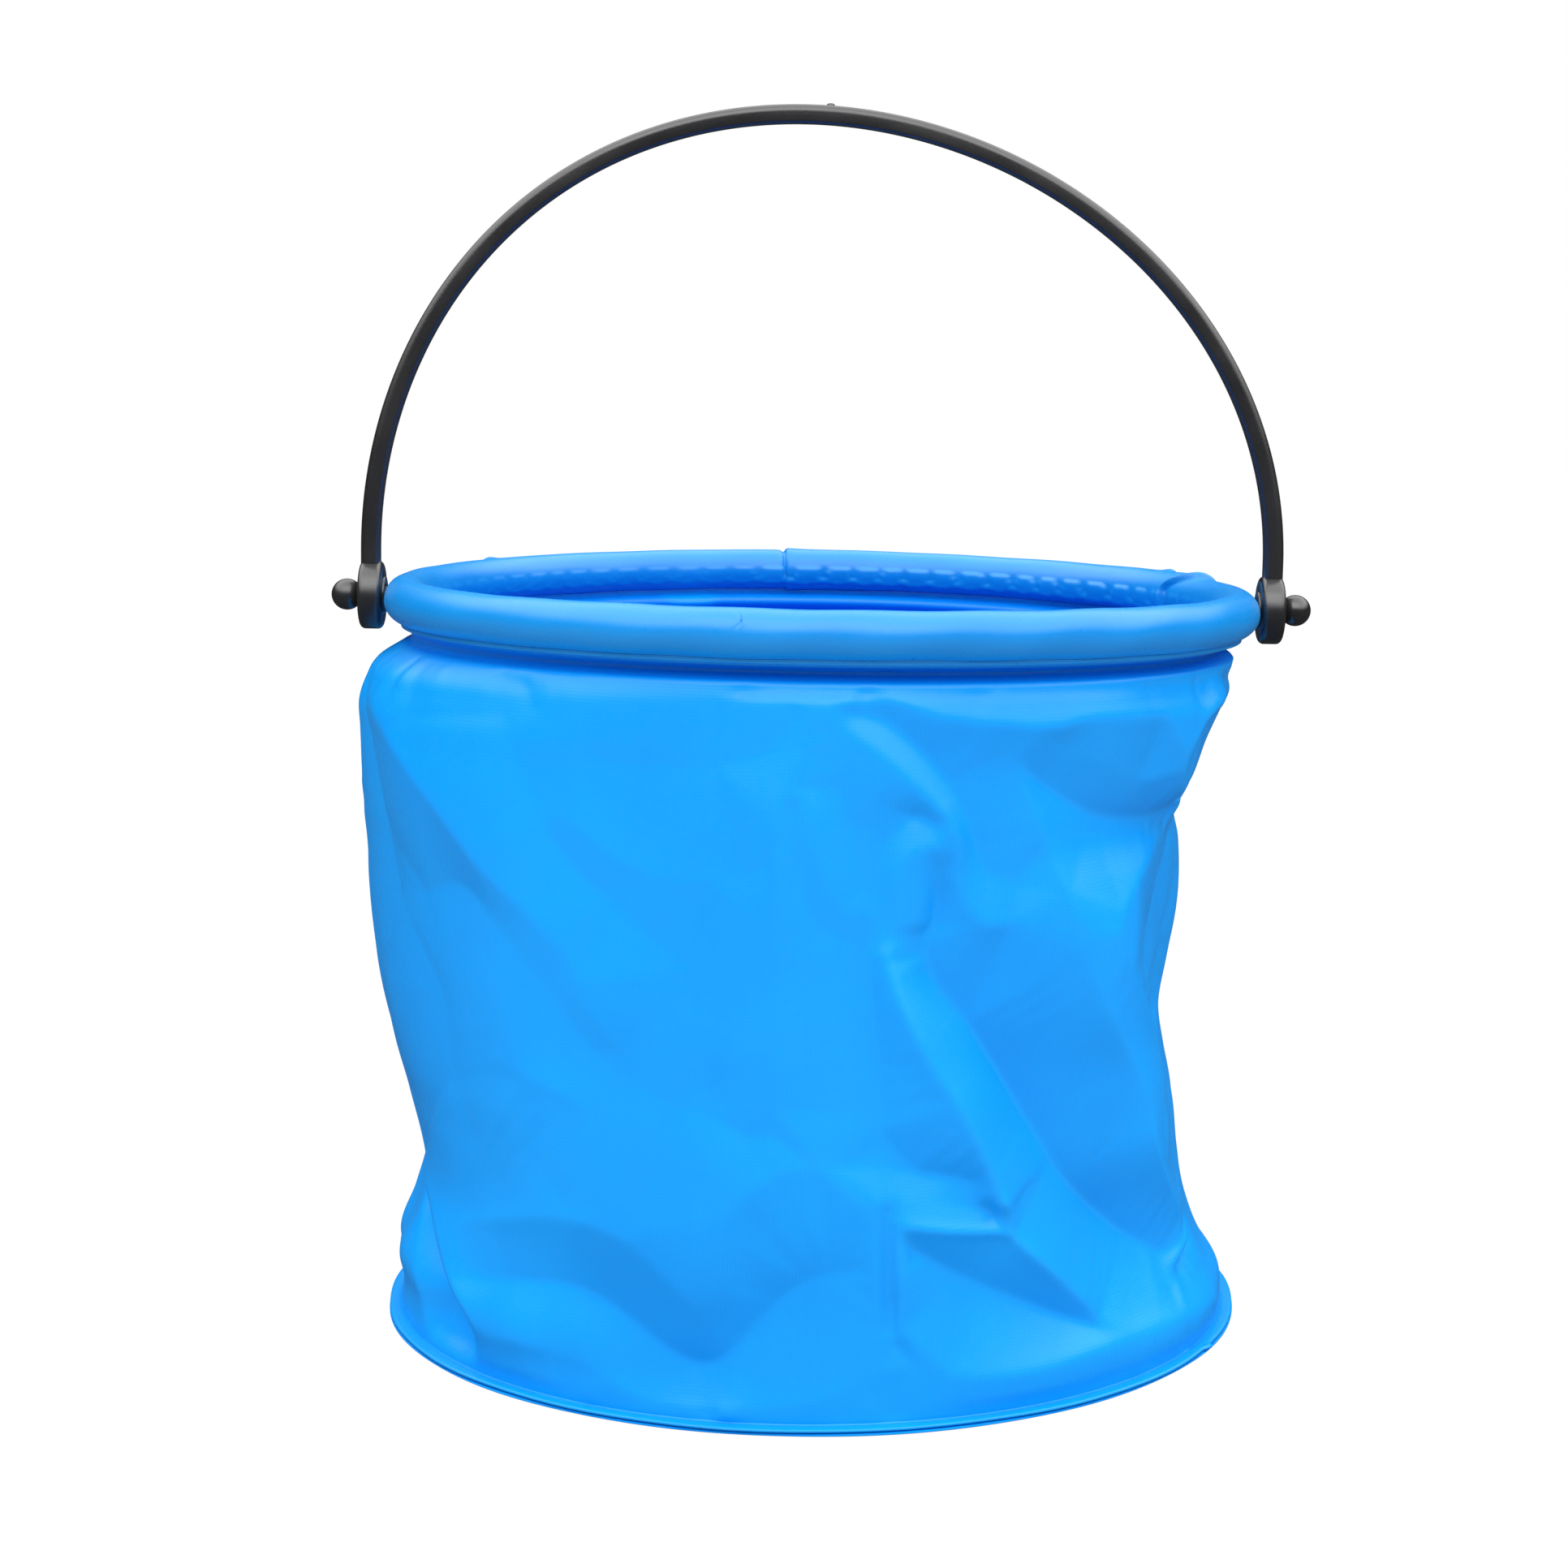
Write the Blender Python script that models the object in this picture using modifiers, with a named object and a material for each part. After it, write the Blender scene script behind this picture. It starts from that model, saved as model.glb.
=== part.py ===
"""A collapsible camp bucket: a soft sheet bucket on a hoop rim, with a moulded swing bail.

All lengths are in metres and +Z is up. The origin is on the floor, right under the middle of the rim.
X runs along the bail's pivot axis and the front of the bucket faces -Y.
"""
import math

import bmesh
import bpy
from mathutils import Matrix, Vector

# The bucket as a whole
rim_outer_radius = 0.1000
rim_height = 0.1639
base_outer_radius = 0.0993
hem_width = 0.0031          # the wall's foot is turned out over the floor panel's edge
base_shift = -0.0024        # the soft wall leans, so the base isn't right under the rim
rim_tilt_degrees = 1.0      # for the same reason the rim's right side sits a little lower
rim_saddle = 0.0010         # the rim's front and back stand this much above its sides

# Sheet, and the running and touching gap between neighbours
sheet_thickness = 0.0006
clearance = 0.0003

# Rim: a sheet sleeve round a stiff tube
rim_section_radius = 0.0051
tube_wall = 0.0013
tube_joint_gap = 0.0010
joiner_length = 0.0180
anchor_length = 0.0150
outer_skirt_drop = 0.0026
inner_skirt_drop = 0.0046
tube_joint_step = 32        # counted in ring steps from the right-hand pin

# Pivot pins
shank_radius = 0.0020
stud_radius = 0.0012
stud_overrun = 0.0014       # how far the stud runs past the middle of the tube
ball_radius = 0.0036

# Bail
strap_width = 0.0042
strap_depth = 0.0060
strap_outer_round = 0.0017
strap_inner_round = 0.0007
bail_leg = 0.0104
bail_crown_room = 0.0101    # from the rim's edge to the middle of the strap, with the bail level
bail_lean = -0.0060         # the crown leans to the left
eye_radius = 0.00785
eye_round = 0.0012
eye_proud = 0.0002          # the eye's outer face stands proud of the strap
eye_inset = 0.0008          # and its inner face stands this far inside the strap
boss_radius = 0.0042
boss_height = 0.0006        # the eye bears on the rim with this boss
gate_mark_radius = 0.0009
gate_mark_height = 0.0004

# How finely round shapes are faceted
ring_steps = 44
sleeve_sides = 14
tube_sides = 12
turned_steps = 20
ball_sides = 10
bail_steps = 36
corner_steps = 3

# Worked out from the sizes above
base_neck_radius = base_outer_radius - hem_width
ring_radius = rim_outer_radius - rim_section_radius
sleeve_mid_radius = rim_section_radius - sheet_thickness / 2
tube_outer_radius = rim_section_radius - sheet_thickness - clearance
tube_bore_radius = tube_outer_radius - tube_wall
plug_radius = tube_bore_radius - clearance
slit_half_width = sheet_thickness / 2 + clearance + sheet_thickness / 2
bore_radius = shank_radius + clearance
stud_hole_radius = stud_radius + clearance
boss_end = rim_outer_radius + clearance
eye_inner_face = boss_end + boss_height
bail_half_span = eye_inner_face + eye_inset + strap_width / 2
eye_outer_face = bail_half_span + strap_width / 2 + eye_proud
bail_rise = rim_outer_radius + bail_crown_room - bail_leg
ball_centre = eye_outer_face + math.sqrt((ball_radius + clearance) ** 2 - bore_radius ** 2)
floor_top = sheet_thickness
hem_height = floor_top + clearance + sheet_thickness / 2
collar_drop = rim_section_radius + inner_skirt_drop + clearance
wall_height = rim_height - collar_drop - hem_height
step_angle = 2 * math.pi / ring_steps
tube_joint_angle = tube_joint_step * step_angle
weld_distance = clearance / 30

# The wall's outline at rest: at each share of the wall's height, how far it reaches to the
# right, back, left and front, as shares of a plain cone from the neck to the rim's ring
wall_reach_shares = (
    (0.00, 1.000, 1.000, 1.000, 1.000),
    (0.05, 0.997, 0.997, 0.997, 0.999),
    (0.09, 0.953, 0.997, 0.999, 1.002),
    (0.16, 0.908, 1.003, 0.974, 1.008),
    (0.23, 0.881, 1.011, 0.932, 1.019),
    (0.33, 0.867, 1.021, 0.966, 1.026),
    (0.40, 0.833, 1.027, 1.002, 1.027),
    (0.47, 0.816, 1.023, 1.028, 1.023),
    (0.55, 0.835, 1.019, 1.048, 1.019),
    (0.62, 0.862, 1.015, 1.063, 1.010),
    (0.72, 0.855, 1.006, 1.078, 1.001),
    (0.78, 0.857, 1.002, 1.087, 0.997),
    (0.85, 0.913, 0.993, 1.094, 0.988),
    (0.93, 0.974, 0.984, 1.103, 0.979),
    (0.97, 0.965, 0.990, 1.050, 0.985),
    (1.00, 1.000, 1.000, 1.000, 1.000),
)

# The wall's main folds. Each has a path of (azimuth in degrees, share of the wall's height),
# then how far it stands out (or in) and how far it spreads, as shares of the ring's radius
wall_fold_shares = (
    (((188, 0.90), (210, 0.80), (223, 0.73), (234, 0.67), (240, 0.53)), 0.026, 0.11),
    (((214, 0.62), (222, 0.45), (228, 0.30)), -0.020, 0.13),
    (((197, 0.23), (203, 0.14), (207, 0.06)), -0.055, 0.075),
    (((206, 0.27), (214, 0.13), (219, 0.06)), 0.022, 0.06),
    (((318, 0.91), (319, 0.86), (320, 0.80)), 0.028, 0.08),
    (((334, 0.93), (331, 0.87), (330, 0.81)), -0.050, 0.08),
    (((281, 0.67), (286, 0.59), (290, 0.50), (288, 0.41), (292, 0.30)), 0.040, 0.08),
    (((295, 0.94), (299, 0.80), (303, 0.65), (310, 0.49), (315, 0.36), (323, 0.22)), 0.045, 0.09),
    (((291, 0.59), (298, 0.54), (309, 0.36), (319, 0.23)), -0.055, 0.08),
    (((335, 0.66), (342, 0.50), (346, 0.34)), -0.030, 0.10),
    (((265, 0.86), (265, 0.30)), 0.016, 0.10),
    (((246, 0.22), (256, 0.12), (264, 0.22)), -0.045, 0.12),
    (((236, 0.07), (253, 0.04), (267, 0.10)), 0.015, 0.05),
    (((273, 0.96), (287, 0.80)), 0.024, 0.08),
    (((282, 0.25), (296, 0.20), (308, 0.10)), -0.040, 0.06),
    (((20, 0.80), (40, 0.50), (62, 0.18)), -0.045, 0.13),
    (((48, 0.90), (66, 0.62), (92, 0.34)), 0.035, 0.11),
    (((78, 0.86), (98, 0.60), (118, 0.26)), -0.045, 0.12),
    (((112, 0.90), (132, 0.62), (146, 0.36)), 0.030, 0.11),
    (((150, 0.72), (160, 0.44), (168, 0.20)), -0.035, 0.12),
)

# Heights of the wall's rings between the foot and the collar, as shares of the wall's height
wall_ring_shares = (0.055, 0.13, 0.22, 0.32, 0.42, 0.53, 0.64, 0.75, 0.85, 0.935)

# The stretch at the top over which the folds die out towards the straight collar,
# and the stretch at the foot over which they die out towards the neck
collar_fade_share = 0.10
foot_fade_share = 0.07


def clear_scene():
    for old in list(bpy.data.objects):
        bpy.data.objects.remove(old, do_unlink=True)
    for old in list(bpy.data.collections):
        bpy.data.collections.remove(old)


def new_collection(name):
    made = bpy.data.collections.new(name)
    bpy.context.scene.collection.children.link(made)
    return made


def material(name, colour, roughness, metallic=0.0):
    made = bpy.data.materials.new(name)
    made.use_nodes = True
    shader = made.node_tree.nodes["Principled BSDF"]
    shader.inputs["Base Color"].default_value = (*colour, 1.0)
    shader.inputs["Roughness"].default_value = roughness
    shader.inputs["Metallic"].default_value = metallic
    made.diffuse_color = (*colour, 1.0)
    return made


def add_object(name, data, collection, parent=None, finish=None):
    made = bpy.data.objects.new(name, data)
    collection.objects.link(made)
    made.parent = parent
    if finish:
        data.materials.clear()
        data.materials.append(finish)
    return made


def evaluated_mesh(source, name):
    """The mesh of an object with its modifiers, as a new mesh of its own."""
    bpy.context.view_layer.update()
    graph = bpy.context.evaluated_depsgraph_get()
    mesh = bpy.data.meshes.new_from_object(source.evaluated_get(graph))
    mesh.name = name
    return mesh


def close_mesh(mesh):
    """Welds loose caps and turns all faces outwards."""
    shape = bmesh.new()
    shape.from_mesh(mesh)
    bmesh.ops.remove_doubles(shape, verts=shape.verts, dist=weld_distance)
    bmesh.ops.recalc_face_normals(shape, faces=shape.faces)
    shape.to_mesh(mesh)
    shape.free()
    return mesh


def shade_round(target, degrees=40):
    target.data.shade_smooth()
    target.data.set_sharp_from_angle(angle=math.radians(degrees))


def profile_mesh(name, points, closed):
    """A line of edges in the XZ plane, for a Screw modifier to turn."""
    shape = bmesh.new()
    corners = [shape.verts.new((x, 0, z)) for x, z in points]
    for first, second in zip(corners, corners[1:]):
        shape.edges.new((first, second))
    if closed:
        shape.edges.new((corners[-1], corners[0]))
    mesh = bpy.data.meshes.new(name)
    shape.to_mesh(mesh)
    shape.free()
    return mesh


def turned_mesh(name, points, steps, closed=False, sweep=2 * math.pi, wall=0.0):
    """Turns a profile round Z with a Screw modifier, and thickens it when a wall is given."""
    source = add_object(name + "_profile", profile_mesh(name, points, closed), guides)
    turn = source.modifiers.new("turn", "SCREW")
    turn.axis = "Z"
    turn.angle = sweep
    turn.steps = steps
    turn.render_steps = steps
    turn.use_merge_vertices = sweep >= 2 * math.pi
    turn.merge_threshold = weld_distance
    if wall:
        shell = source.modifiers.new("shell", "SOLIDIFY")
        shell.thickness = wall
        shell.offset = 0.0
    mesh = evaluated_mesh(source, name)
    bpy.data.objects.remove(source, do_unlink=True)
    return close_mesh(mesh)


def lift_saddle(mesh):
    """Raises the front and back of a ring above its sides."""
    for corner in mesh.vertices:
        reach = math.hypot(corner.co.x, corner.co.y)
        if reach > 0:
            corner.co.z += rim_saddle * (corner.co.y / reach) ** 2
    return mesh


def cut(target, cutter):
    """Takes a cutter out of a piece, with a Boolean modifier that stays."""
    hole = target.modifiers.new("cut_" + cutter.name, "BOOLEAN")
    hole.operation = "DIFFERENCE"
    hole.solver = "EXACT"
    hole.object = cutter


def radial_cutter(name, side, radius, start, end):
    """A cylinder along the pivot axis, on the right (side 1) or the left (side -1)."""
    shape = bmesh.new()
    bmesh.ops.create_cone(
        shape, cap_ends=True, segments=turned_steps, radius1=radius, radius2=radius, depth=end - start
    )
    mesh = bpy.data.meshes.new(name)
    shape.to_mesh(mesh)
    shape.free()
    made = add_object(name, mesh, cutters, rim_frame)
    made.rotation_euler = (0, math.pi / 2, 0)
    made.location = (side * (start + end) / 2, 0, 0)
    made.hide_render = True
    made.display_type = "WIRE"
    return made


def ring_point(azimuth):
    """A point on the middle line of the tube, which is faceted in ring_steps."""
    off_corner = (azimuth % step_angle) - step_angle / 2
    reach = ring_radius * math.cos(step_angle / 2) / math.cos(off_corner)
    lift = rim_saddle * math.sin(azimuth) ** 2
    return Vector((reach * math.cos(azimuth), reach * math.sin(azimuth), lift))


def rod_in_tube(name, azimuths, finish):
    """A plug inside the tube: a rod that follows the tube's faceted middle line."""
    line = bpy.data.curves.new(name, "CURVE")
    line.dimensions = "3D"
    line.bevel_depth = plug_radius
    line.bevel_resolution = 2
    line.use_fill_caps = True
    run = line.splines.new("POLY")
    run.points.add(len(azimuths) - 1)
    for spot, azimuth in zip(run.points, azimuths):
        spot.co = (*ring_point(azimuth), 1.0)
    source = add_object(name + "_line", line, guides)
    mesh = close_mesh(evaluated_mesh(source, name))
    bpy.data.objects.remove(source, do_unlink=True)
    made = add_object(name, mesh, parts, rim_frame, finish)
    shade_round(made)
    return made


def make_floor_panel():
    shape = bmesh.new()
    bmesh.ops.create_cone(
        shape,
        cap_ends=True,
        segments=ring_steps,
        radius1=base_outer_radius,
        radius2=base_outer_radius,
        depth=sheet_thickness,
    )
    mesh = bpy.data.meshes.new("floor_panel")
    shape.to_mesh(mesh)
    shape.free()
    made = add_object("floor_panel", mesh, parts, None, material("floor_blue", (0.01, 0.22, 0.72), 0.45))
    made.location = (base_shift, 0, sheet_thickness / 2)
    made.data.set_sharp_from_angle(angle=math.radians(40))
    return made


def reach_at(azimuth, height_share):
    """The wall's reach without folds, between the four reaches of the table."""
    rows = wall_reach_shares
    upper = next(i for i, row in enumerate(rows) if row[0] >= height_share or row is rows[-1])
    lower = max(upper - 1, 0)
    span = rows[upper][0] - rows[lower][0]
    mix = (height_share - rows[lower][0]) / span if span else 0.0
    mix = mix * mix * (3 - 2 * mix)
    right, back, left, front = (
        rows[lower][k] * (1 - mix) + rows[upper][k] * mix for k in (1, 2, 3, 4)
    )
    along_x = math.cos(azimuth)
    along_y = math.sin(azimuth)
    sideways = right if along_x > 0 else left
    lengthways = back if along_y > 0 else front
    plain = base_neck_radius * (1 - height_share) + ring_radius * height_share
    return plain * (sideways * along_x ** 2 + lengthways * along_y ** 2)


def distance_to_path(spot, path):
    """The least distance from a spot on the unrolled wall to a line of spots on it."""
    least = math.inf
    for first, second in zip(path, path[1:]):
        along = second - first
        share = max(0.0, min(1.0, (spot - first).dot(along) / along.length_squared))
        least = min(least, (spot - first - along * share).length)
    return least


def fold_at(azimuth, height_share):
    """How far the folds move the wall out at a spot."""
    moved = 0.0
    around = math.degrees(azimuth) % 360
    spot = Vector((math.radians(around) * ring_radius, height_share * wall_height))
    for path_share, rise_share, spread_share in wall_fold_shares:
        path = [Vector((math.radians(a) * ring_radius, h * wall_height)) for a, h in path_share]
        gap = distance_to_path(spot, path) / (spread_share * ring_radius)
        moved += rise_share * ring_radius * math.exp(-gap * gap)
    fade = min(1.0, height_share / foot_fade_share, (1 - height_share) / collar_fade_share)
    return moved * max(0.0, fade)


def collar_spot(azimuth, drop):
    """A spot in the slit of the sleeve, a drop below the middle of the rim."""
    local = ring_point(azimuth) + Vector((0, 0, -drop))
    return rim_place @ local


def wall_spot(azimuth, height_share):
    """A spot on the folded wall between the neck at the foot and the collar."""
    collar = collar_spot(azimuth, collar_drop)
    reach = reach_at(azimuth, height_share) + fold_at(azimuth, height_share)
    middle = Vector((base_shift * (1 - height_share), 0, 0))
    height = hem_height + height_share * (collar.z - hem_height)
    return middle + Vector((reach * math.cos(azimuth), reach * math.sin(azimuth), height))


def foot_spot(azimuth, radius):
    """A spot on the flat hem that is welded to the floor panel."""
    return Vector((base_shift + radius * math.cos(azimuth), radius * math.sin(azimuth), hem_height))


def make_body_wall():
    shape = bmesh.new()
    turns = [k * step_angle for k in range(ring_steps)]
    rings = [
        [foot_spot(a, base_outer_radius) for a in turns],
        [foot_spot(a, base_neck_radius) for a in turns],
    ]
    rings += [[wall_spot(a, share) for a in turns] for share in wall_ring_shares]
    rings += [
        [collar_spot(a, collar_drop) for a in turns],
        [collar_spot(a, sleeve_mid_radius) for a in turns],
    ]
    corners = [[shape.verts.new(spot) for spot in ring] for ring in rings]
    for below, above in zip(corners, corners[1:]):
        for k in range(ring_steps):
            after = (k + 1) % ring_steps
            shape.faces.new((below[k], below[after], above[after], above[k]))
    mesh = bpy.data.meshes.new("body_wall")
    shape.to_mesh(mesh)
    shape.free()
    made = add_object("body_wall", mesh, parts, None, material("wall_blue", (0.01, 0.33, 0.94), 0.42))
    shell = made.modifiers.new("shell", "SOLIDIFY")
    shell.thickness = sheet_thickness
    shell.offset = 0.0
    shade_round(made, 60)
    return made


def make_rim_sleeve():
    """The sheet strip goes up inside, over the tube and down outside, with the wall in its slit."""
    opening = math.asin(slit_half_width / sleeve_mid_radius)
    sweep = 2 * math.pi - 2 * opening
    first = -math.pi / 2 - opening
    around = [first - sweep * k / sleeve_sides for k in range(sleeve_sides + 1)]
    wrap = [
        (ring_radius + sleeve_mid_radius * math.cos(a), sleeve_mid_radius * math.sin(a)) for a in around
    ]
    inner_end = (ring_radius - slit_half_width, -rim_section_radius - inner_skirt_drop)
    outer_end = (ring_radius + slit_half_width, -rim_section_radius - outer_skirt_drop)
    mesh = turned_mesh("rim_sleeve", [inner_end, *wrap, outer_end], ring_steps, wall=sheet_thickness)
    made = add_object(
        "rim_sleeve", lift_saddle(mesh), parts, rim_frame, material("rim_blue", (0.06, 0.39, 0.88), 0.34)
    )
    for label, side in sides:
        cutter = radial_cutter("sleeve_hole_" + label, side, bore_radius, ring_radius, eye_inner_face)
        cut(made, cutter)
    shade_round(made)
    return made


def make_rim_tube():
    half_gap = tube_joint_gap / ring_radius / 2
    wall = tube_outer_radius - tube_bore_radius
    middle = tube_bore_radius + wall / 2
    turns = [-2 * math.pi * k / tube_sides for k in range(tube_sides)]
    section = [(ring_radius + middle * math.cos(a), middle * math.sin(a)) for a in turns]
    sweep = 2 * math.pi - 2 * half_gap
    mesh = turned_mesh("rim_tube", section, ring_steps, closed=True, sweep=sweep, wall=wall)
    mesh.transform(Matrix.Rotation(tube_joint_angle + half_gap, 4, "Z"))
    made = add_object(
        "rim_tube", lift_saddle(mesh), parts, rim_frame, material("tube_white", (0.75, 0.76, 0.78), 0.5)
    )
    for label, side in sides:
        cutter = radial_cutter("tube_hole_" + label, side, stud_hole_radius, ring_radius, rim_outer_radius)
        cut(made, cutter)
    shade_round(made)
    return made


def make_tube_plugs():
    plug_finish = material("plug_grey", (0.30, 0.31, 0.33), 0.55)
    reach = joiner_length / ring_radius / 2
    near = tube_joint_gap / ring_radius / 2
    rod_in_tube("tube_joiner", [tube_joint_angle + a for a in (-reach, -near, near, reach)], plug_finish)
    half = anchor_length / ring_radius / 2
    for label, side in sides:
        middle = 0.0 if side > 0 else math.pi
        anchor = rod_in_tube("pin_anchor_" + label, [middle - half, middle, middle + half], plug_finish)
        cutter = radial_cutter(
            "anchor_hole_" + label,
            side,
            stud_hole_radius,
            ring_radius - tube_outer_radius,
            ring_radius + tube_outer_radius,
        )
        cut(anchor, cutter)


def make_pivot_pins():
    """Turned pins: a ball head outside the eye, a shank through it and a stud into the anchor."""
    shoulder = ring_radius + tube_outer_radius + clearance
    neck = math.asin(shank_radius / ball_radius)
    turns = [(math.pi - neck) * k / ball_sides for k in range(ball_sides + 1)]
    ball = [(ball_radius * math.sin(a), ball_centre + ball_radius * math.cos(a)) for a in turns]
    shank = [
        (shank_radius, shoulder),
        (stud_radius, shoulder),
        (stud_radius, ring_radius - stud_overrun),
        (0, ring_radius - stud_overrun),
    ]
    finish = material("pin_black", (0.020, 0.020, 0.022), 0.32)
    for label, side in sides:
        mesh = turned_mesh("pivot_pin_" + label, ball + shank, turned_steps)
        made = add_object("pivot_pin_" + label, mesh, parts, rim_frame, finish)
        made.rotation_euler = (0, side * math.pi / 2, 0)
        shade_round(made)


def strap_section():
    """The strap's section, whose outer edge is rounder than its inner one."""
    corners = (
        (strap_width / 2, strap_depth / 2, strap_outer_round, 0),
        (-strap_width / 2, strap_depth / 2, strap_inner_round, 1),
        (-strap_width / 2, -strap_depth / 2, strap_inner_round, 2),
        (strap_width / 2, -strap_depth / 2, strap_outer_round, 3),
    )
    points = []
    for x, y, rounding, quarter in corners:
        middle = Vector((x - math.copysign(rounding, x), y - math.copysign(rounding, y)))
        for k in range(corner_steps + 1):
            turn = (quarter + k / corner_steps) * math.pi / 2
            points.append(middle + rounding * Vector((math.cos(turn), math.sin(turn))))
    return points


def bail_path():
    """The strap's middle line in the XZ plane, from the right eye over the crown to the left eye."""
    foot = (bore_radius + eye_radius) / 2
    points = [Vector((bail_half_span, foot))]
    for k in range(bail_steps + 1):
        turn = math.pi * k / bail_steps
        x = bail_half_span * math.cos(turn) + bail_lean * math.sin(turn) ** 2
        points.append(Vector((x, bail_leg + bail_rise * math.sin(turn))))
    points.append(Vector((-bail_half_span, foot)))
    return points


def make_strap_mesh():
    """Sweeps the section along the path, square to it, and closes both ends."""
    path = bail_path()
    section = strap_section()
    shape = bmesh.new()
    loops = []
    for k, spot in enumerate(path):
        before = path[max(k - 1, 0)]
        after = path[min(k + 1, len(path) - 1)]
        along = (after - before).normalized()
        outward = Vector((along.y, -along.x))
        loops.append(
            [shape.verts.new((spot.x + outward.x * p.x, p.y, spot.y + outward.y * p.x)) for p in section]
        )
    count = len(section)
    for first, second in zip(loops, loops[1:]):
        for k in range(count):
            after = (k + 1) % count
            shape.faces.new((first[k], first[after], second[after], second[k]))
    shape.faces.new(loops[0])
    shape.faces.new(loops[-1])
    bmesh.ops.recalc_face_normals(shape, faces=shape.faces)
    mesh = bpy.data.meshes.new("bail")
    shape.to_mesh(mesh)
    shape.free()
    return mesh


def eye_profile():
    """Section of an eye disc on one side of the pivot axis, with its boss towards the rim."""
    inner = eye_inner_face
    outer = eye_outer_face
    quarter = [math.pi / 2 * k / corner_steps for k in range(corner_steps + 1)]
    corner = eye_radius - eye_round
    top = [
        (corner + eye_round * math.sin(a), outer - eye_round + eye_round * math.cos(a)) for a in quarter
    ]
    low = [
        (corner + eye_round * math.cos(a), inner + eye_round - eye_round * math.sin(a)) for a in quarter
    ]
    boss = [(boss_radius, inner), (boss_radius, boss_end), (bore_radius, boss_end), (bore_radius, outer)]
    return top + low + boss


def make_bail():
    """The strap, joined to an eye disc at each end and a small gate mark on the crown."""
    finish = material("bail_black", (0.022, 0.022, 0.025), 0.36)
    made = add_object("bail", make_strap_mesh(), parts, rim_frame, finish)
    for label, side in sides:
        mesh = turned_mesh("eye_" + label, eye_profile(), turned_steps, closed=True)
        mesh.transform(Matrix.Rotation(side * math.pi / 2, 4, "Y"))
        join(made, add_object("eye_" + label, mesh, cutters, rim_frame))
    shape = bmesh.new()
    bmesh.ops.create_cone(
        shape,
        cap_ends=True,
        segments=turned_steps,
        radius1=gate_mark_radius,
        radius2=gate_mark_radius / 2,
        depth=gate_mark_height + strap_width / 2,
    )
    mesh = bpy.data.meshes.new("gate_mark")
    shape.to_mesh(mesh)
    shape.free()
    mark = add_object("gate_mark", mesh, cutters, rim_frame)
    crown = bail_leg + bail_rise
    mark.location = (0, 0, crown + (gate_mark_height + strap_width / 2) / 2)
    join(made, mark)
    shade_round(made)
    return made


def join(target, added):
    """Fuses a shape into a piece, with a Boolean modifier that stays."""
    added.hide_render = True
    added.display_type = "WIRE"
    weld = target.modifiers.new("join_" + added.name, "BOOLEAN")
    weld.operation = "UNION"
    weld.solver = "EXACT"
    weld.object = added


clear_scene()
parts = new_collection("collapsible_camp_bucket")
cutters = new_collection("cutters")
guides = new_collection("guides")
sides = (("right", 1), ("left", -1))

rim_frame = bpy.data.objects.new("rim_frame", None)
parts.objects.link(rim_frame)
rim_frame.location = (0, 0, rim_height)
rim_frame.rotation_euler = (0, math.radians(rim_tilt_degrees), 0)
bpy.context.view_layer.update()
rim_place = rim_frame.matrix_world.copy()

make_floor_panel()
make_body_wall()
make_rim_sleeve()
make_rim_tube()
make_tube_plugs()
make_pivot_pins()
make_bail()
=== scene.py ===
"""The dressed scene of the collapsible camp bucket: sheet wall, rim sleeve, bail, pins, stage and light.

All lengths are in metres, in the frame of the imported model: +Z up, the front faces -Y. Names that end
in _px hold pixels of the 1932 x 1932 photograph, and names that end in _degrees hold degrees.
"""

import math

import bmesh
import bpy
import numpy as np
from mathutils import Matrix, Vector
from mathutils.geometry import delaunay_2d_cdt


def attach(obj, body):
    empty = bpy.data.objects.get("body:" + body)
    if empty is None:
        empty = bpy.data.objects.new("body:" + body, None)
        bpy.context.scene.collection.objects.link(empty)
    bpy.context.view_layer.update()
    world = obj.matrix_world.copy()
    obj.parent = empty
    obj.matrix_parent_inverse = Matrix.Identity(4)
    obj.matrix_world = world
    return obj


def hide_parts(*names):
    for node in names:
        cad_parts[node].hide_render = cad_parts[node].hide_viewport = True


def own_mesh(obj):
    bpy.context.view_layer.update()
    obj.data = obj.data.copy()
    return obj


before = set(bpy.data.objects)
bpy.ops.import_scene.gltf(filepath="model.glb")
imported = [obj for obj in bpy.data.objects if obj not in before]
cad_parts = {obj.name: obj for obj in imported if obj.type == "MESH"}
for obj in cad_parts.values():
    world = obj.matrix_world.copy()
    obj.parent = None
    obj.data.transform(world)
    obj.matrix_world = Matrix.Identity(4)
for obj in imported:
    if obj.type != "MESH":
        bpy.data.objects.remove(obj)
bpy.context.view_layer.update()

# Camera, as fitted to the outlines of the rim and the base
image_size = 1932
sensor_width = 36.0
focal_px = 3709
camera_place = (-0.0086, -0.693, 0.219)
camera_pitch = math.radians(8.0)

# Sizes that the source gives
rim_outer_radius = 0.1000
rim_height = 0.1639
base_outer_radius = 0.0993
hem_width = 0.0031
base_shift = -0.0024
rim_tilt = math.radians(1.0)
rim_saddle = 0.0010
sheet_thickness = 0.0006
clearance = 0.0003
rim_section_radius = 0.0051
outer_skirt_drop = 0.0026
inner_skirt_drop = 0.0046
shank_radius = 0.0020
ball_radius = 0.0036
strap_width = 0.0042
strap_depth = 0.0060
strap_outer_round = 0.0017
strap_inner_round = 0.0007
bail_leg = 0.0104
bail_crown_room = 0.0101
bail_lean = -0.0060
eye_radius = 0.00785
eye_proud = 0.0002
eye_inset = 0.0008
boss_radius = 0.0042
boss_height = 0.0006

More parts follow.
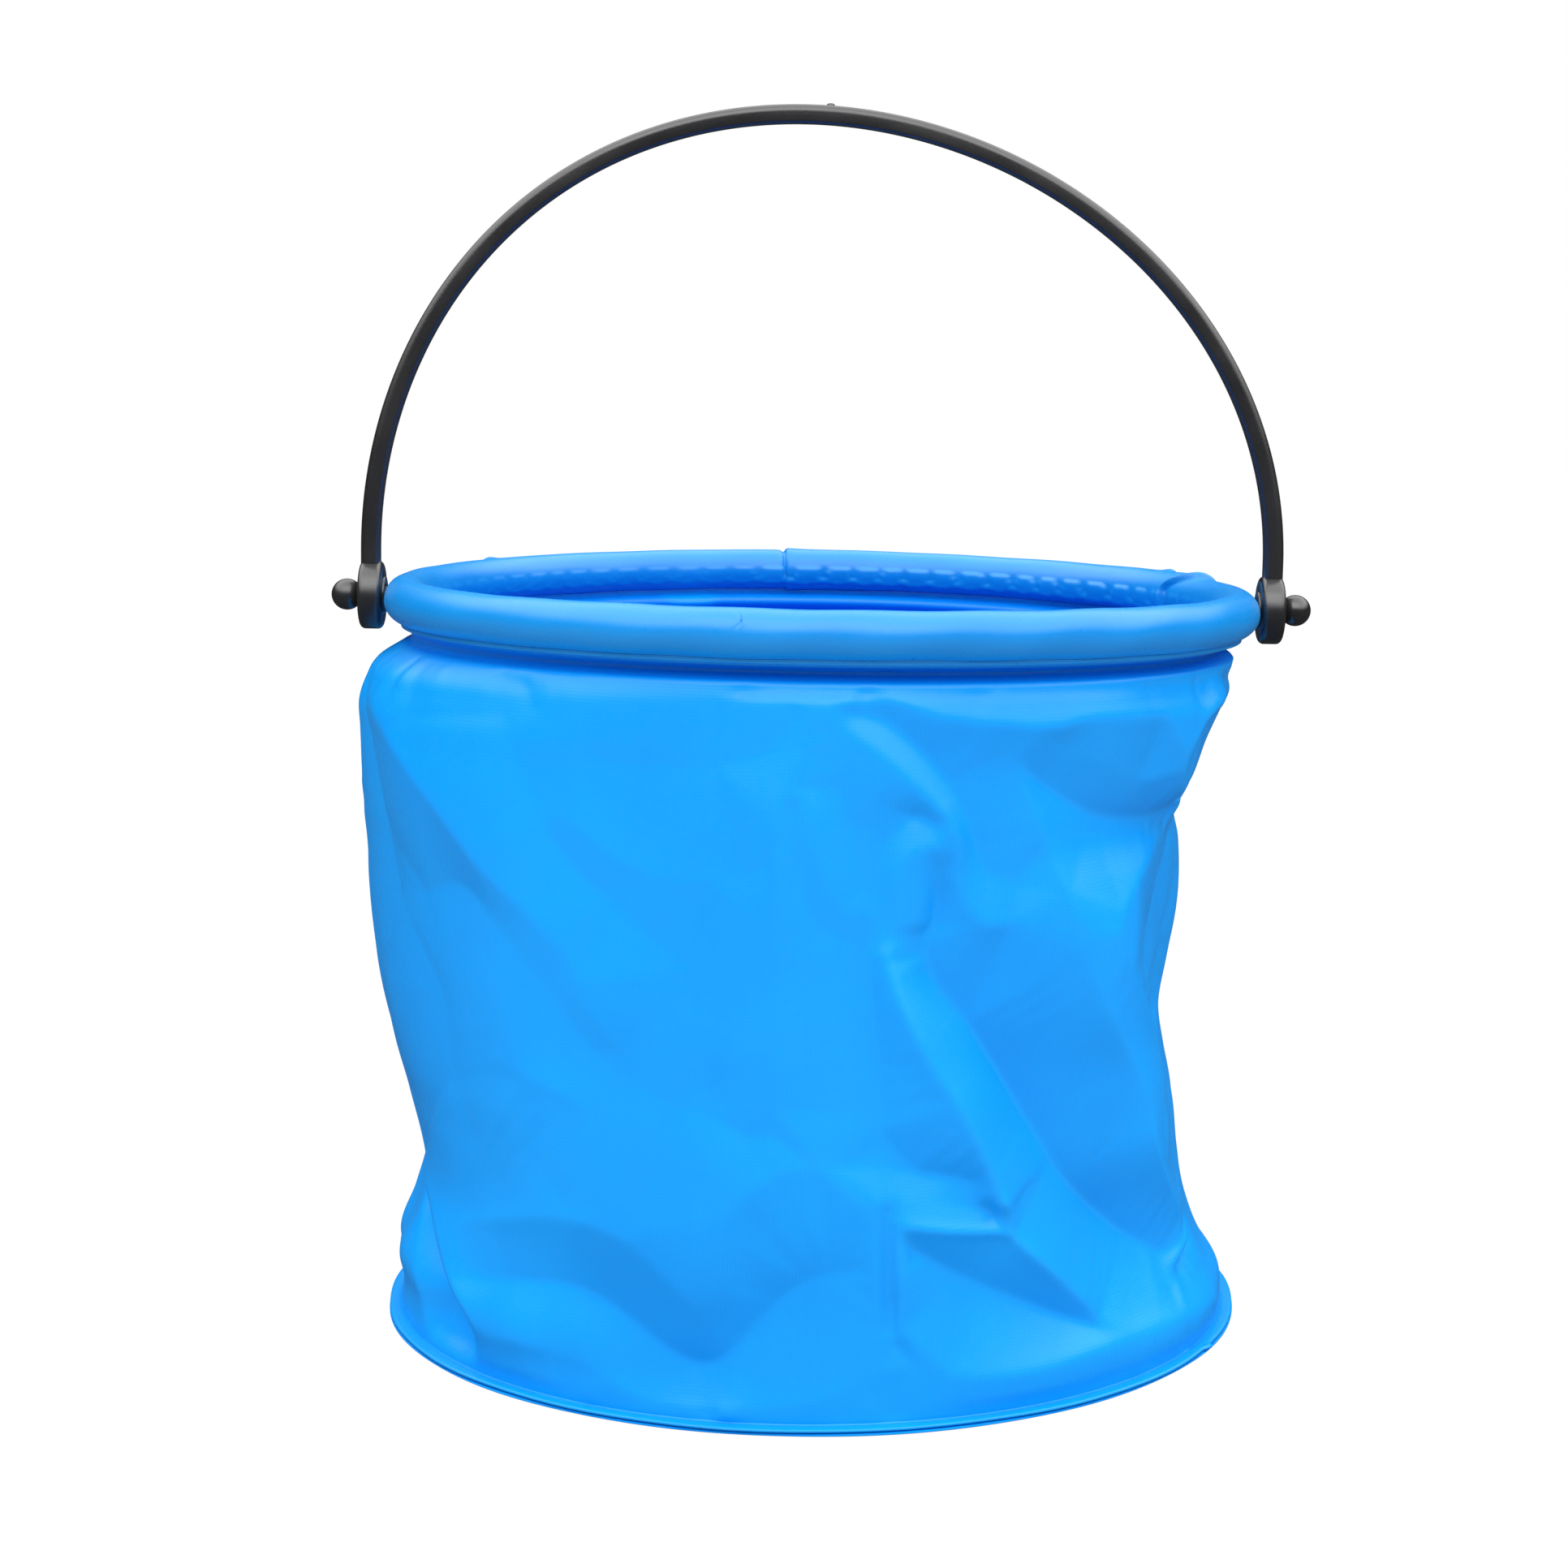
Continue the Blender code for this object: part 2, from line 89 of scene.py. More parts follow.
base_neck_radius = base_outer_radius - hem_width
ring_radius = rim_outer_radius - rim_section_radius
sleeve_mid_radius = rim_section_radius - sheet_thickness / 2
slit_half_width = sheet_thickness + clearance
bore_radius = shank_radius + clearance
boss_end = rim_outer_radius + clearance
eye_inner_face = boss_end + boss_height
bail_half_span = eye_inner_face + eye_inset + strap_width / 2
eye_outer_face = bail_half_span + strap_width / 2 + eye_proud
bail_rise = rim_outer_radius + bail_crown_room - bail_leg
ball_centre = eye_outer_face + math.sqrt((ball_radius + clearance) ** 2 - bore_radius ** 2)
hem_height = sheet_thickness + clearance + sheet_thickness / 2
collar_drop = rim_section_radius + inner_skirt_drop + clearance
wall_height = rim_height - collar_drop - hem_height
rim_place = Matrix.Translation((0, 0, rim_height)) @ Matrix.Rotation(rim_tilt, 4, "Y")

# How finely the pieces are meshed
wall_steps = 800
wall_rows = 230
ring_steps = 720
bail_steps = 220
turned_steps = 96

# How finely the wall's creases and folds are worked out, and with what tolerances
crease_path_steps = 3
fold_path_steps = 5
net_edge_degrees = 12
ray_rounds = 12
touch = 1e-6
least_area = 1e-12
tie = 1e-9

rng = np.random.default_rng(7)


# The creases of the crumpled wall. Between them the sheet is nearly flat, as facets. Each crease has
# photograph pixels, and at each of them how far it stands out (+) or in (-), in millimetres
front_creases = {
    "top_band": (
        (905, 862, 0.5), (929, 868, 0.8), (1018, 873, 1.2), (1096, 862, 1.2), (1151, 884, 1.6),
        (1240, 893, 2.0), (1296, 895, 2.2), (1346, 879, 1.9), (1429, 873, 1.6), (1478, 858, 1.4)),
    "shoulder_left": (
        (505, 893, 0.0), (545, 891, -0.3), (600, 890, -0.4), (660, 892, -0.3), (720, 888, 0.0)),
    "upper_valley": (
        (1046, 884, 0.2), (1090, 895, -0.6), (1130, 925, -1.1), (1166, 966, -1.4), (1194, 1014, -1.4),
        (1210, 1070, -0.9), (1224, 1096, -0.3), (1252, 1090, 0.2)),
    "upper_ridge": (
        (1040, 905, 0.7), (1064, 918, 1.1), (1100, 945, 1.3), (1140, 985, 1.4), (1164, 1010, 1.5),
        (1180, 1040, 1.4), (1178, 1078, 1.2), (1190, 1118, 0.9), (1214, 1140, 0.9), (1242, 1136, 0.8)),
    "upper_side": ((1036, 955, 0.5), (1072, 985, 0.6), (1104, 1004, -0.3), (1130, 1011, -1.1)),
    "ridge_b": (
        (1240, 893, 2.0), (1251, 920, 1.0), (1259, 960, 0.5), (1281, 1034, 2.2), (1302, 1095, 4.6),
        (1316, 1140, 6.2), (1322, 1190, 6.3), (1346, 1255, 6.5), (1374, 1316, 6.5), (1388, 1360, 6.3),
        (1398, 1399, 5.9), (1413, 1440, 5.0), (1429, 1470, 4.0), (1441, 1504, 2.6), (1443, 1532, 1.2)),
    "corner_valley": (
        (1264, 950, -0.4), (1296, 972, -2.0), (1340, 996, -2.6), (1375, 1004, -2.6), (1412, 1000, -1.6),
        (1436, 986, 0.3)),
    "corner_hollow": ((1310, 915, 0.4), (1360, 940, 0.2), (1402, 960, 0.0)),
    "turn_b": (
        (1440, 1004, 0.8), (1418, 1032, 0.9), (1385, 1078, 3.6), (1352, 1145, 6.8), (1380, 1215, 5.8),
        (1400, 1270, 5.1), (1411, 1330, 4.7), (1411, 1400, 4.3), (1424, 1450, 3.1), (1445, 1484, 1.6)),
    "right_side": ((1432, 1080, -2.0), (1420, 1140, -2.2), (1410, 1200, -1.4), (1414, 1255, 0.8)),
    "right_low_side": ((1432, 1340, 0.8), (1437, 1400, 0.4), (1441, 1446, 0.6)),
    "valley_a": (
        (1141, 1153, -2.2), (1149, 1201, -3.6), (1170, 1235, -4.5), (1201, 1268, -5.2), (1235, 1316, -5.7),
        (1263, 1360, -6.0), (1290, 1400, -6.1), (1318, 1443, -6.1), (1345, 1472, -5.8), (1374, 1499, -5.1),
        (1404, 1525, -3.6), (1430, 1542, -1.2)),
    "ridge_a": (
        (1087, 1162, 0.2), (1092, 1184, 1.4), (1105, 1230, 2.6), (1128, 1280, 3.2), (1152, 1325, 3.4),
        (1179, 1365, 3.5), (1207, 1427, 3.6), (1226, 1478, 3.4)),
    "ridge_a_top": ((1094, 1160, 0.5), (1114, 1156, 0.0), (1138, 1154, -1.7)),
    "hook": (
        (1106, 1142, 0.9), (1104, 1110, 1.1), (1106, 1080, 1.2), (1116, 1060, 1.2), (1134, 1048, 1.2),
        (1156, 1046, 1.2), (1174, 1051, 1.3)),
    "hook_side": (
        (1080, 1134, -0.3), (1080, 1105, -0.4), (1083, 1070, -0.5), (1092, 1042, -0.5), (1110, 1022, -0.5),
        (1132, 1013, -0.5), (1146, 1015, -0.3)),
    "hook_inside": ((1128, 1080, 0.9), (1132, 1110, 0.7), (1130, 1140, 0.2)),
    "hook_dark": ((1152, 1080, -0.2), (1155, 1112, -1.3), (1152, 1142, -2.0)),
    "streak": ((990, 975, 1.2), (994, 1000, 1.8), (1006, 1058, 2.0), (1022, 1100, 1.5), (1034, 1128, 0.8)),
    "streak_left": ((974, 1000, 1.5), (976, 1040, 1.8), (984, 1096, 1.8), (1000, 1135, 1.5)),
    "streak_right": ((1030, 975, 0.2), (1046, 1040, 0.0), (1060, 1096, -0.3)),
    "middle_crest": (
        (977, 885, 0.6), (984, 930, 1.1), (972, 975, 1.7), (963, 1010, 2.4), (961, 1070, 3.1),
        (961, 1130, 3.3), (961, 1200, 3.3), (961, 1300, 2.9), (959, 1350, 2.1), (954, 1400, 1.0)),
    "middle_side": ((1068, 1180, -0.9), (1076, 1260, -1.5), (1083, 1340, -2.1), (1088, 1420, -2.6)),
    "shade_low": ((705, 926, 0.1), (740, 944, -0.3), (810, 954, -0.4), (880, 950, -0.3), (945, 935, 0.4)),
    "middle_step": (
        (702, 1014, 0.8), (760, 1062, 1.1), (830, 1090, 1.4), (900, 1090, 1.7), (940, 1075, 2.0)),
    "left_patch": ((674, 1024, 0.6), (704, 1070, 0.2), (748, 1112, 0.2)),
    "left_crest": (
        (458, 870, 0.2), (470, 893, 1.2), (501, 937, 2.2), (542, 989, 2.9), (579, 1038, 3.2),
        (605, 1075, 3.1), (655, 1126, 2.3), (700, 1180, 1.8), (722, 1230, 1.5), (745, 1272, 1.1),
        (770, 1300, 0.6)),
    "left_floor": (
        (486, 1118, -2.2), (520, 1106, -1.6), (556, 1094, -0.8), (588, 1106, 0.3), (622, 1150, 0.9),
        (664, 1204, 0.9), (698, 1252, 0.6), (734, 1300, 0.3)),
    "left_trough": ((530, 1180, -1.2), (545, 1250, -1.2), (560, 1330, -0.7)),
    "left_swell": ((620, 1230, 0.9), (655, 1330, 1.1), (690, 1385, 1.0)),
    "neutral": ((850, 1200, 1.2), (860, 1300, 1.0)),
    "neutral_low": ((800, 1350, 0.6), (870, 1378, 0.4), (920, 1400, 0.5)),
    "triangle": ((1100, 1446, -2.5), (1150, 1450, -2.2), (1196, 1454, -0.4)),
    "ledge_shade": ((1098, 1482, -0.9), (1150, 1483, -0.7), (1200, 1485, -0.4), (1216, 1488, 0.0)),
    "ledge": (
        (1106, 1511, 0.1), (1124, 1514, 0.5), (1145, 1516, 0.8), (1190, 1517, 1.1), (1232, 1516, 1.6),
        (1257, 1538, 2.1), (1290, 1566, 2.2), (1318, 1591, 2.0), (1340, 1611, 1.4), (1352, 1631, 0.6)),
    "leaf": (
        (1114, 1530, -0.8), (1130, 1544, -2.1), (1168, 1566, -3.1), (1200, 1580, -3.4), (1235, 1594, -3.3),
        (1275, 1610, -2.6), (1318, 1625, -1.3), (1347, 1634, 0.0)),
    "low_right": (
        (1112, 1686, 0.5), (1200, 1696, 0.8), (1280, 1684, 1.2), (1340, 1662, 1.6), (1420, 1630, 1.7),
        (1490, 1598, 1.4)),
    "swag_top": (
        (572, 1515, 3.2), (600, 1504, 2.9), (650, 1500, 2.7), (700, 1500, 2.6), (745, 1512, 2.4),
        (785, 1535, 2.2), (820, 1570, 1.9), (850, 1600, 1.5), (868, 1614, 1.2), (880, 1590, 1.9),
        (890, 1540, 2.5), (903, 1495, 2.6), (935, 1462, 2.2), (985, 1440, 1.2), (1040, 1440, -0.6)),
    "swag": (
        (584, 1574, 2.2), (620, 1578, 0.2), (660, 1580, -0.9), (700, 1586, -1.6), (740, 1606, -2.2),
        (780, 1636, -2.5), (815, 1664, -2.7), (850, 1682, -2.8), (875, 1684, -2.8), (900, 1668, -2.7),
        (930, 1635, -2.5), (965, 1600, -2.3), (1005, 1578, -2.0), (1056, 1568, -1.5)),
    "swag_lip": (
        (702, 1618, -0.8), (710, 1648, -0.2), (730, 1682, 0.1), (762, 1708, 0.2), (800, 1726, 0.0),
        (850, 1735, -0.1), (900, 1736, -0.1), (960, 1733, 0.0), (1030, 1718, 0.3), (1072, 1690, 0.4)),
    "left_lobe": ((600, 1645, 2.2), (640, 1650, 2.0), (684, 1664, 0.7)),
    "post_shade": ((1082, 1486, 0.0), (1082, 1560, 0.1), (1085, 1640, 0.2)),
    "post_valley": ((1098, 1500, -1.2), (1099, 1560, -1.5), (1101, 1620, -1.3), (1102, 1654, -0.3)),
    "post": ((1109, 1532, 0.7), (1109, 1590, 1.1), (1108, 1636, 0.9)),
    "lap": (
        (530, 1428, 0.6), (533, 1444, 2.0), (545, 1490, 3.2), (556, 1543, 3.6), (568, 1584, 3.6),
        (587, 1618, 3.2), (592, 1638, 2.4), (592, 1666, 1.0)),
    "lap_side": (
        (522, 1440, -1.5), (533, 1492, -5.2), (543, 1545, -7.2), (554, 1590, -7.2), (573, 1628, -5.2),
        (582, 1660, -1.8)),
    "lap_right": ((600, 1430, 1.4), (620, 1455, 1.8)),
    "flap": (
        (1500, 846, 2.4), (1482, 868, 3.0), (1458, 903, 3.8), (1443, 922, 4.3), (1438, 943, 4.3),
        (1441, 963, 3.4), (1446, 984, 1.6)),
}

# The creases out of the photograph's sight: azimuth in degrees, share of the wall's height, and rise
hidden_creases = {
    "left_flat": ((196, 0.87, -1.4), (198, 0.80, -2.4), (200, 0.72, -3.0), (202, 0.65, -3.0)),
    "recess": ((194, 0.19, -0.4), (199, 0.12, -1.2), (203, 0.07, -0.6)),
    "flap_side": ((347, 0.93, -1.4), (339, 0.89, -3.2), (335, 0.85, -3.6), (332, 0.80, -2.2)),
    "right_swell": ((352, 0.74, 1.0), (350, 0.58, 1.2), (346, 0.44, 0.2)),
    "right_hollow": ((340, 0.60, -1.4), (342, 0.48, -1.8), (343, 0.36, -0.8)),
    "right_low": ((338, 0.30, 0.4), (344, 0.22, 0.8), (350, 0.12, 0.4)),
    "right_back_ridge": ((4, 0.90, 0.6), (9, 0.76, 2.4), (6, 0.60, 2.8), (12, 0.42, 2.0), (10, 0.24, 0.8)),
    "back_valley_1": (
        (22, 0.84, -1.4), (30, 0.62, -3.2), (44, 0.40, -3.8), (60, 0.24, -2.8), (64, 0.16, -1.4)),
    "back_ridge_1": (
        (34, 0.94, 0.6), (42, 0.82, 2.6), (56, 0.66, 3.8), (70, 0.52, 3.8), (86, 0.38, 2.8),
        (98, 0.28, 1.2)),
    "back_ridge_low": ((22, 0.40, 1.2), (30, 0.24, 2.4), (40, 0.12, 1.0)),
    "back_tuck": ((70, 0.13, 1.6), (84, 0.11, 2.2), (98, 0.14, 0.8)),
    "back_tuck_side": ((74, 0.22, -1.2), (88, 0.20, -1.8), (104, 0.20, -1.4), (120, 0.13, -0.8)),
    "back_valley_2": (
        (70, 0.86, -1.2), (86, 0.70, -3.2), (100, 0.52, -3.8), (112, 0.36, -2.8), (118, 0.26, -1.4)),
    "back_ridge_2": (
        (102, 0.93, 0.8), (113, 0.78, 3.0), (126, 0.60, 3.8), (138, 0.42, 3.2), (143, 0.26, 1.6),
        (140, 0.14, 0.6)),
    "back_valley_3": (
        (138, 0.86, -1.4), (150, 0.66, -3.2), (158, 0.46, -3.4), (160, 0.28, -2.2), (156, 0.14, -0.8)),
    "left_back_ridge": (
        (162, 0.92, 0.6), (172, 0.76, 2.4), (176, 0.58, 2.6), (181, 0.40, 1.4), (178, 0.24, 0.8)),
    "left_edge": ((188, 0.80, 0.0), (186, 0.66, -0.6), (188, 0.50, -0.4)),
}
crease_roundness = 0.0007  # the creases' radius

# Small folds. Each has a path of photograph pixels with its rise in millimetres at each of them, then
# how far it spreads to either side, and how round its crest is, in millimetres
small_folds = {
    "top_dimple": (((628, 820, -0.3), (638, 842, -0.7), (650, 866, -0.5), (660, 896, 0.0)), 2.4, 2.4, 0.8),
    "pocket": (((1450, 1490, -0.4), (1458, 1522, -2.6), (1450, 1556, -2.0), (1442, 1578, -0.3)),
               1.6, 3.0, 0.4),
    "pocket_edge": (((1446, 1500, 0.6), (1446, 1530, 1.0), (1438, 1556, 0.4)), 1.0, 1.2, 0.3),
    "fold_nick": (((1214, 1478, -0.2), (1224, 1494, -1.0), (1216, 1506, -0.3)), 1.6, 1.2, 0.4),
    "node": (((1222, 1470, 0.2), (1229, 1483, 1.0), (1236, 1498, 0.3)), 1.2, 1.2, 0.4),
    "leaf_edge": (((1122, 1514, 0.3), (1180, 1517, 0.5), (1232, 1517, 0.6), (1258, 1537, 0.5),
                   (1300, 1574, 0.3)), 1.0, 1.0, 0.3),
    "right_wrinkle": (((1402, 1180, -0.4), (1408, 1215, -0.8), (1404, 1250, -0.3)), 1.6, 2.2, 0.6),
    "post_line": (((1091, 1500, -0.3), (1090, 1560, -0.6), (1090, 1640, -0.3)), 1.2, 0.9, 0.4),
    "faint_left": (((600, 1300, 0.0), (690, 1345, 0.5), (730, 1380, 0.0)), 2.5, 3.5, 1.0),
    "faint_low": (((660, 1420, 0.0), (700, 1475, -0.5), (720, 1510, 0.0)), 4.0, 4.0, 1.5),
    "faint_middle": (((830, 1330, 0.0), (880, 1350, -0.4), (930, 1372, 0.0)), 3.0, 5.0, 1.5),
    "node_side": (((1280, 1450, 0.0), (1262, 1472, -0.5), (1246, 1490, -0.2)), 1.6, 1.6, 0.6),
    "hook_shade": (((1158, 1056, 0.0), (1160, 1100, -0.7), (1154, 1142, -0.5)), 2.0, 2.4, 0.5),
    "dip_1": (((900, 838, -0.4), (928, 846, -1.1), (956, 840, -0.4)), 1.6, 1.6, 0.5),
    "dip_2": (((1004, 836, -0.3), (1026, 843, -0.8), (1048, 838, -0.3)), 1.4, 1.4, 0.5),
}

# At each share of the wall's height, its reach to the right, back, left and front, as shares of a
# plain cone from the neck to the rim's ring
wall_reach_shares = np.array((
    (0.00, 1.000, 1.000, 1.000, 1.000),
    (0.05, 0.994, 0.997, 0.998, 0.999),
    (0.09, 0.953, 0.997, 1.012, 1.002),
    (0.16, 0.908, 1.003, 0.972, 1.008),
    (0.23, 0.881, 1.011, 0.942, 1.019),
    (0.33, 0.868, 1.021, 0.974, 1.026),
    (0.40, 0.840, 1.027, 1.012, 1.027),
    (0.47, 0.820, 1.023, 1.040, 1.023),
    (0.55, 0.834, 1.019, 1.061, 1.019),
    (0.62, 0.852, 1.015, 1.076, 1.012),
    (0.72, 0.856, 1.006, 1.092, 1.008),
    (0.77, 0.850, 1.004, 1.101, 1.008),
    (0.82, 0.898, 1.004, 1.107, 1.009),
    (0.88, 0.936, 1.005, 1.110, 1.009),
    (0.92, 0.966, 1.006, 1.111, 1.008),
    (0.95, 0.986, 1.006, 1.095, 1.007),
    (0.975, 0.980, 1.005, 1.072, 1.005),
    (1.00, 0.990, 1.000, 1.010, 1.001),
))
foot_fade_share = 0.03
collar_fade_share = 0.025
fold_sharpness = 1.15
slight_waves = 16

# Puckers at a weld: how many, then the ranges in millimetres of their widths, reaches and rises, the
# steepest lean, and how fast they widen away from the weld
collar_puckers = (46, (0.9, 2.6), (5, 13), (-0.60, 0.35), 0.35, 0.25)
foot_puckers = (40, (1.2, 3.2), (4, 11), (-0.45, 0.35), 0, 0.3)
pucker_start = 0.002

# The rows of the foot's hem from its edge inwards, and whether the edge's slight wave moves them
hem_rows = (
    (base_outer_radius, True),
    (base_outer_radius - 0.0008, True),
    (base_neck_radius + 0.0011, False),
    (base_neck_radius + 0.0003, False),
)
hem_corner_degrees = 333  # a small corner that the edge's wave has

# The rows of the wall's top: how far below the rim's middle line, and how far the gathers pull them in
gather_rows = (
    (0.0097, 0.0010), (0.0094, 0.0028), (0.0088, 0.0042), (0.0080, 0.0048),
    (0.0072, 0.0040), (0.0065, 0.0022), (0.0060, 0.0006), (0.0056, 0.0000),
)
left_ease_share = 0.7  # the gathers are weaker by this share at the left

# A small pleat of the back wall, which bulges inwards just below the rim
tuck_degrees = 111
tuck_height = 0.1500
tuck_half_width = 0.0115
tuck_half_height = 0.0088
tuck_depth = 0.0026
tuck_roundness = 1.4
tuck_end_drop = 0.0060
# Where the pleat bulges into the light, the strip below the rim gets less painted shade: the height at which
# the pleat is read, the depth at which the shade is least, and by what share it is less
tuck_shade_height = 0.155
tuck_shade_depth = 0.0010
tuck_shade_share = 0.8

# Curvature, in 1/m, at which the sheet starts to pale, and at which it is palest: partly stress whitening,
# partly a painted highlight along the creases
plain_curvature = 130
sharp_curvature = 730

# The shown sheets are thinner than the solids by this much, so that their plies don't touch
wall_ease = 0.00005
floor_ease = 0.00003

# The upper half of the floor's section: radius, and height as a share of half the thickness. The
# slight wave of the edge starts at floor_wave_radius
floor_rows = (
    (0.020, 1), (0.060, 1), (0.090, 1), (base_outer_radius - 0.0006, 1),
    (base_outer_radius - 0.0002, 0.85), (base_outer_radius, 0.3),
)
floor_wave_radius = 0.097


# Meshes

def stack(*parts):
    return np.stack(parts, axis=-1)


def even_turns(count):
    return np.arange(count) * 2 * math.pi / count


def new_object(name, data):
    made = bpy.data.objects.new(name, data)
    bpy.context.scene.collection.objects.link(made)
    return made


def grid_mesh(name, points, closed=False, caps=False):
    """A mesh of quads from points[row, column]. Each row is a ring, and if closed, so is each column."""
    rows, columns = points.shape[:2]
    mesh = bpy.data.meshes.new(name)
    index = np.arange(rows * columns).reshape(rows, columns)
    wide = np.concatenate([index, index[:, :1]], axis=1)
    if closed:
        wide = np.concatenate([wide, wide[:1]], axis=0)
    faces = stack(wide[:-1, :-1], wide[:-1, 1:], wide[1:, 1:], wide[1:, :-1]).reshape(-1, 4).tolist()
    if caps:
        faces += [index[0][::-1].tolist(), index[-1].tolist()]
    mesh.from_pydata(points.reshape(-1, 3).tolist(), [], faces)
    mesh.update()
    return mesh


def link(name, mesh, body, finish, sharp_degrees=50):
    """Adds a closed mesh, or a sheet, as a piece that rides on a body, with its faces outwards."""
    made = new_object(name, mesh)
    mesh.materials.append(finish)
    mesh.shade_smooth()
    if sharp_degrees:
        mesh.set_sharp_from_angle(angle=math.radians(sharp_degrees))
    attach(made, body)
    shape = bmesh.new()
    shape.from_mesh(mesh)
    bmesh.ops.recalc_face_normals(shape, faces=shape.faces)
    shape.to_mesh(mesh)
    shape.free()
    return made


def thicken(sheet, thickness):
    """Gives a sheet its thickness, with the modifier applied, so that it is one closed mesh."""
    shell = sheet.modifiers.new("shell", "SOLIDIFY")
    shell.thickness = thickness
    shell.offset = 0
    bpy.context.view_layer.update()
    graph = bpy.context.evaluated_depsgraph_get()
    mesh = bpy.data.meshes.new_from_object(sheet.evaluated_get(graph))
    sheet.modifiers.clear()
    sheet.data = mesh


def store(mesh, name, values):
    """Keeps a value at each of the mesh's points, for its material."""
    made = mesh.attributes.new(name, "FLOAT", "POINT")
    made.data.foreach_set("value", values.reshape(-1))


def place(points, matrix):
    flat = np.asarray(points, float)
    return flat @ np.array(matrix.to_3x3()).T + np.array(matrix.translation)


def bell(away, width, power=2):
    """1 in the middle, about a third at the width, and soon 0 beyond it."""
    return np.exp(-(away / width) ** power)


def soft_step(value, start, end):
    t = np.clip((value - start) / (end - start), 0, 1)
    return t * t * (3 - 2 * t)


# The wall

def steady_curve(at, knots, values):
    """A smooth curve through the knots, as a cubic that takes each knot's slope from its neighbours."""
    slopes = np.gradient(values, knots)
    k = np.clip(np.searchsorted(knots, at, side="right") - 1, 0, len(knots) - 2)
    width = knots[k + 1] - knots[k]
    t = np.clip((at - knots[k]) / width, 0, 1)
    return (
        values[k] * (1 + 2 * t) * (1 - t) ** 2
        + slopes[k] * width * t * (1 - t) ** 2
        + values[k + 1] * t * t * (3 - 2 * t)
        + slopes[k + 1] * width * t * t * (t - 1)
    )


def plain_reach(azimuth, share):
    """The wall's reach without its folds."""
    knots = wall_reach_shares[:, 0]
    right, back, left, front = (steady_curve(share, knots, wall_reach_shares[:, k]) for k in (1, 2, 3, 4))
    along_x = np.cos(azimuth)
    along_y = np.sin(azimuth)
    sideways = np.where(along_x > 0, right, left)
    lengthways = np.where(along_y > 0, back, front)
    cone = base_neck_radius * (1 - share) + ring_radius * share
    return cone * (sideways * along_x ** 2 + lengthways * along_y ** 2)


def pixel_on_wall(x_px, y_px):
    """Where the camera's ray through a pixel meets the unfolded wall: azimuth, and height in metres."""
    across = (x_px - image_size / 2) / focal_px
    down = (y_px - image_size / 2) / focal_px
    ray = np.array([
        across,
        math.cos(camera_pitch) - down * math.sin(camera_pitch),
        -math.sin(camera_pitch) - down * math.cos(camera_pitch),
    ])
    eye = np.array(camera_place)
    reach = ring_radius
    middle = base_shift / 2
    for _ in range(ray_rounds):
        start = eye[:2] - (middle, 0)
        a = ray[:2] @ ray[:2]
        b = start @ ray[:2]
        c = start @ start - reach ** 2
        way = (-b - math.sqrt(max(b * b - a * c, 0))) / a
        hit = eye + ray * way
        azimuth = math.atan2(hit[1], hit[0] - middle) % (2 * math.pi)
        share = min(max((hit[2] - hem_height) / wall_height, 0), 1)
        middle = base_shift * (1 - share)
        reach = float(plain_reach(np.array(azimuth), np.array(share)))
    return azimuth, share * wall_height


def path_distance(across, up, path):
    """Distance from every spot to a path on the unrolled wall, the side it lies on, and the rise there."""
    round_length = 2 * math.pi * ring_radius
    middle = np.mean([p[0] for p in path])
    across = (across - middle + round_length / 2) % round_length - round_length / 2 + middle
    least = np.full(across.shape, np.inf)
    side = np.zeros(across.shape)
    rise = np.zeros(across.shape)
    for (u0, v0, r0), (u1, v1, r1) in zip(path, path[1:]):
        du, dv = u1 - u0, v1 - v0
        length = math.hypot(du, dv)
        t = np.clip(((across - u0) * du + (up - v0) * dv) / length ** 2, 0, 1)
        gap = np.hypot(across - u0 - t * du, up - v0 - t * dv)
        turn = (du * (up - v0) - dv * (across - u0)) / length
        nearer = gap < least - tie
        least = np.where(nearer, gap, least)
        side = np.where(nearer, turn, side)
        rise = np.where(nearer, r0 + (r1 - r0) * t, rise)
    return least, side, rise


def climb(path):
    """A path that starts at its lower end, so that left and right of it are those of the photograph."""
    return path if path[0][1] <= path[-1][1] else path[::-1]


def smooth_path(path, steps):
    """Rounds the corners of a path with a Catmull-Rom curve."""
    spots = np.array([path[0], *path, path[-1]], float)
    out = []
    for p0, p1, p2, p3 in zip(spots, spots[1:], spots[2:], spots[3:]):
        for k in range(steps):
            t = k / steps
            out.append(0.5 * (2 * p1 + (p2 - p0) * t + (2 * p0 - 5 * p1 + 4 * p2 - p3) * t * t
                              + (3 * p1 - p0 - 3 * p2 + p3) * t ** 3))
    out.append(np.array(path[-1], float))
    return [tuple(p) for p in out]


def fold_height(across, up, path, left, right, crest):
    """The rise of one small fold, which fades out to either side of its path."""
    path = climb(smooth_path(path, fold_path_steps))
    gap, side, rise = path_distance(across, up, path)
    spread = np.where(side > 0, left, right) / 1000
    crest = crest / 1000
    far = (np.sqrt(gap ** 2 + crest ** 2) - crest) / spread
    return rise / 1000 * np.exp(-far ** fold_sharpness)


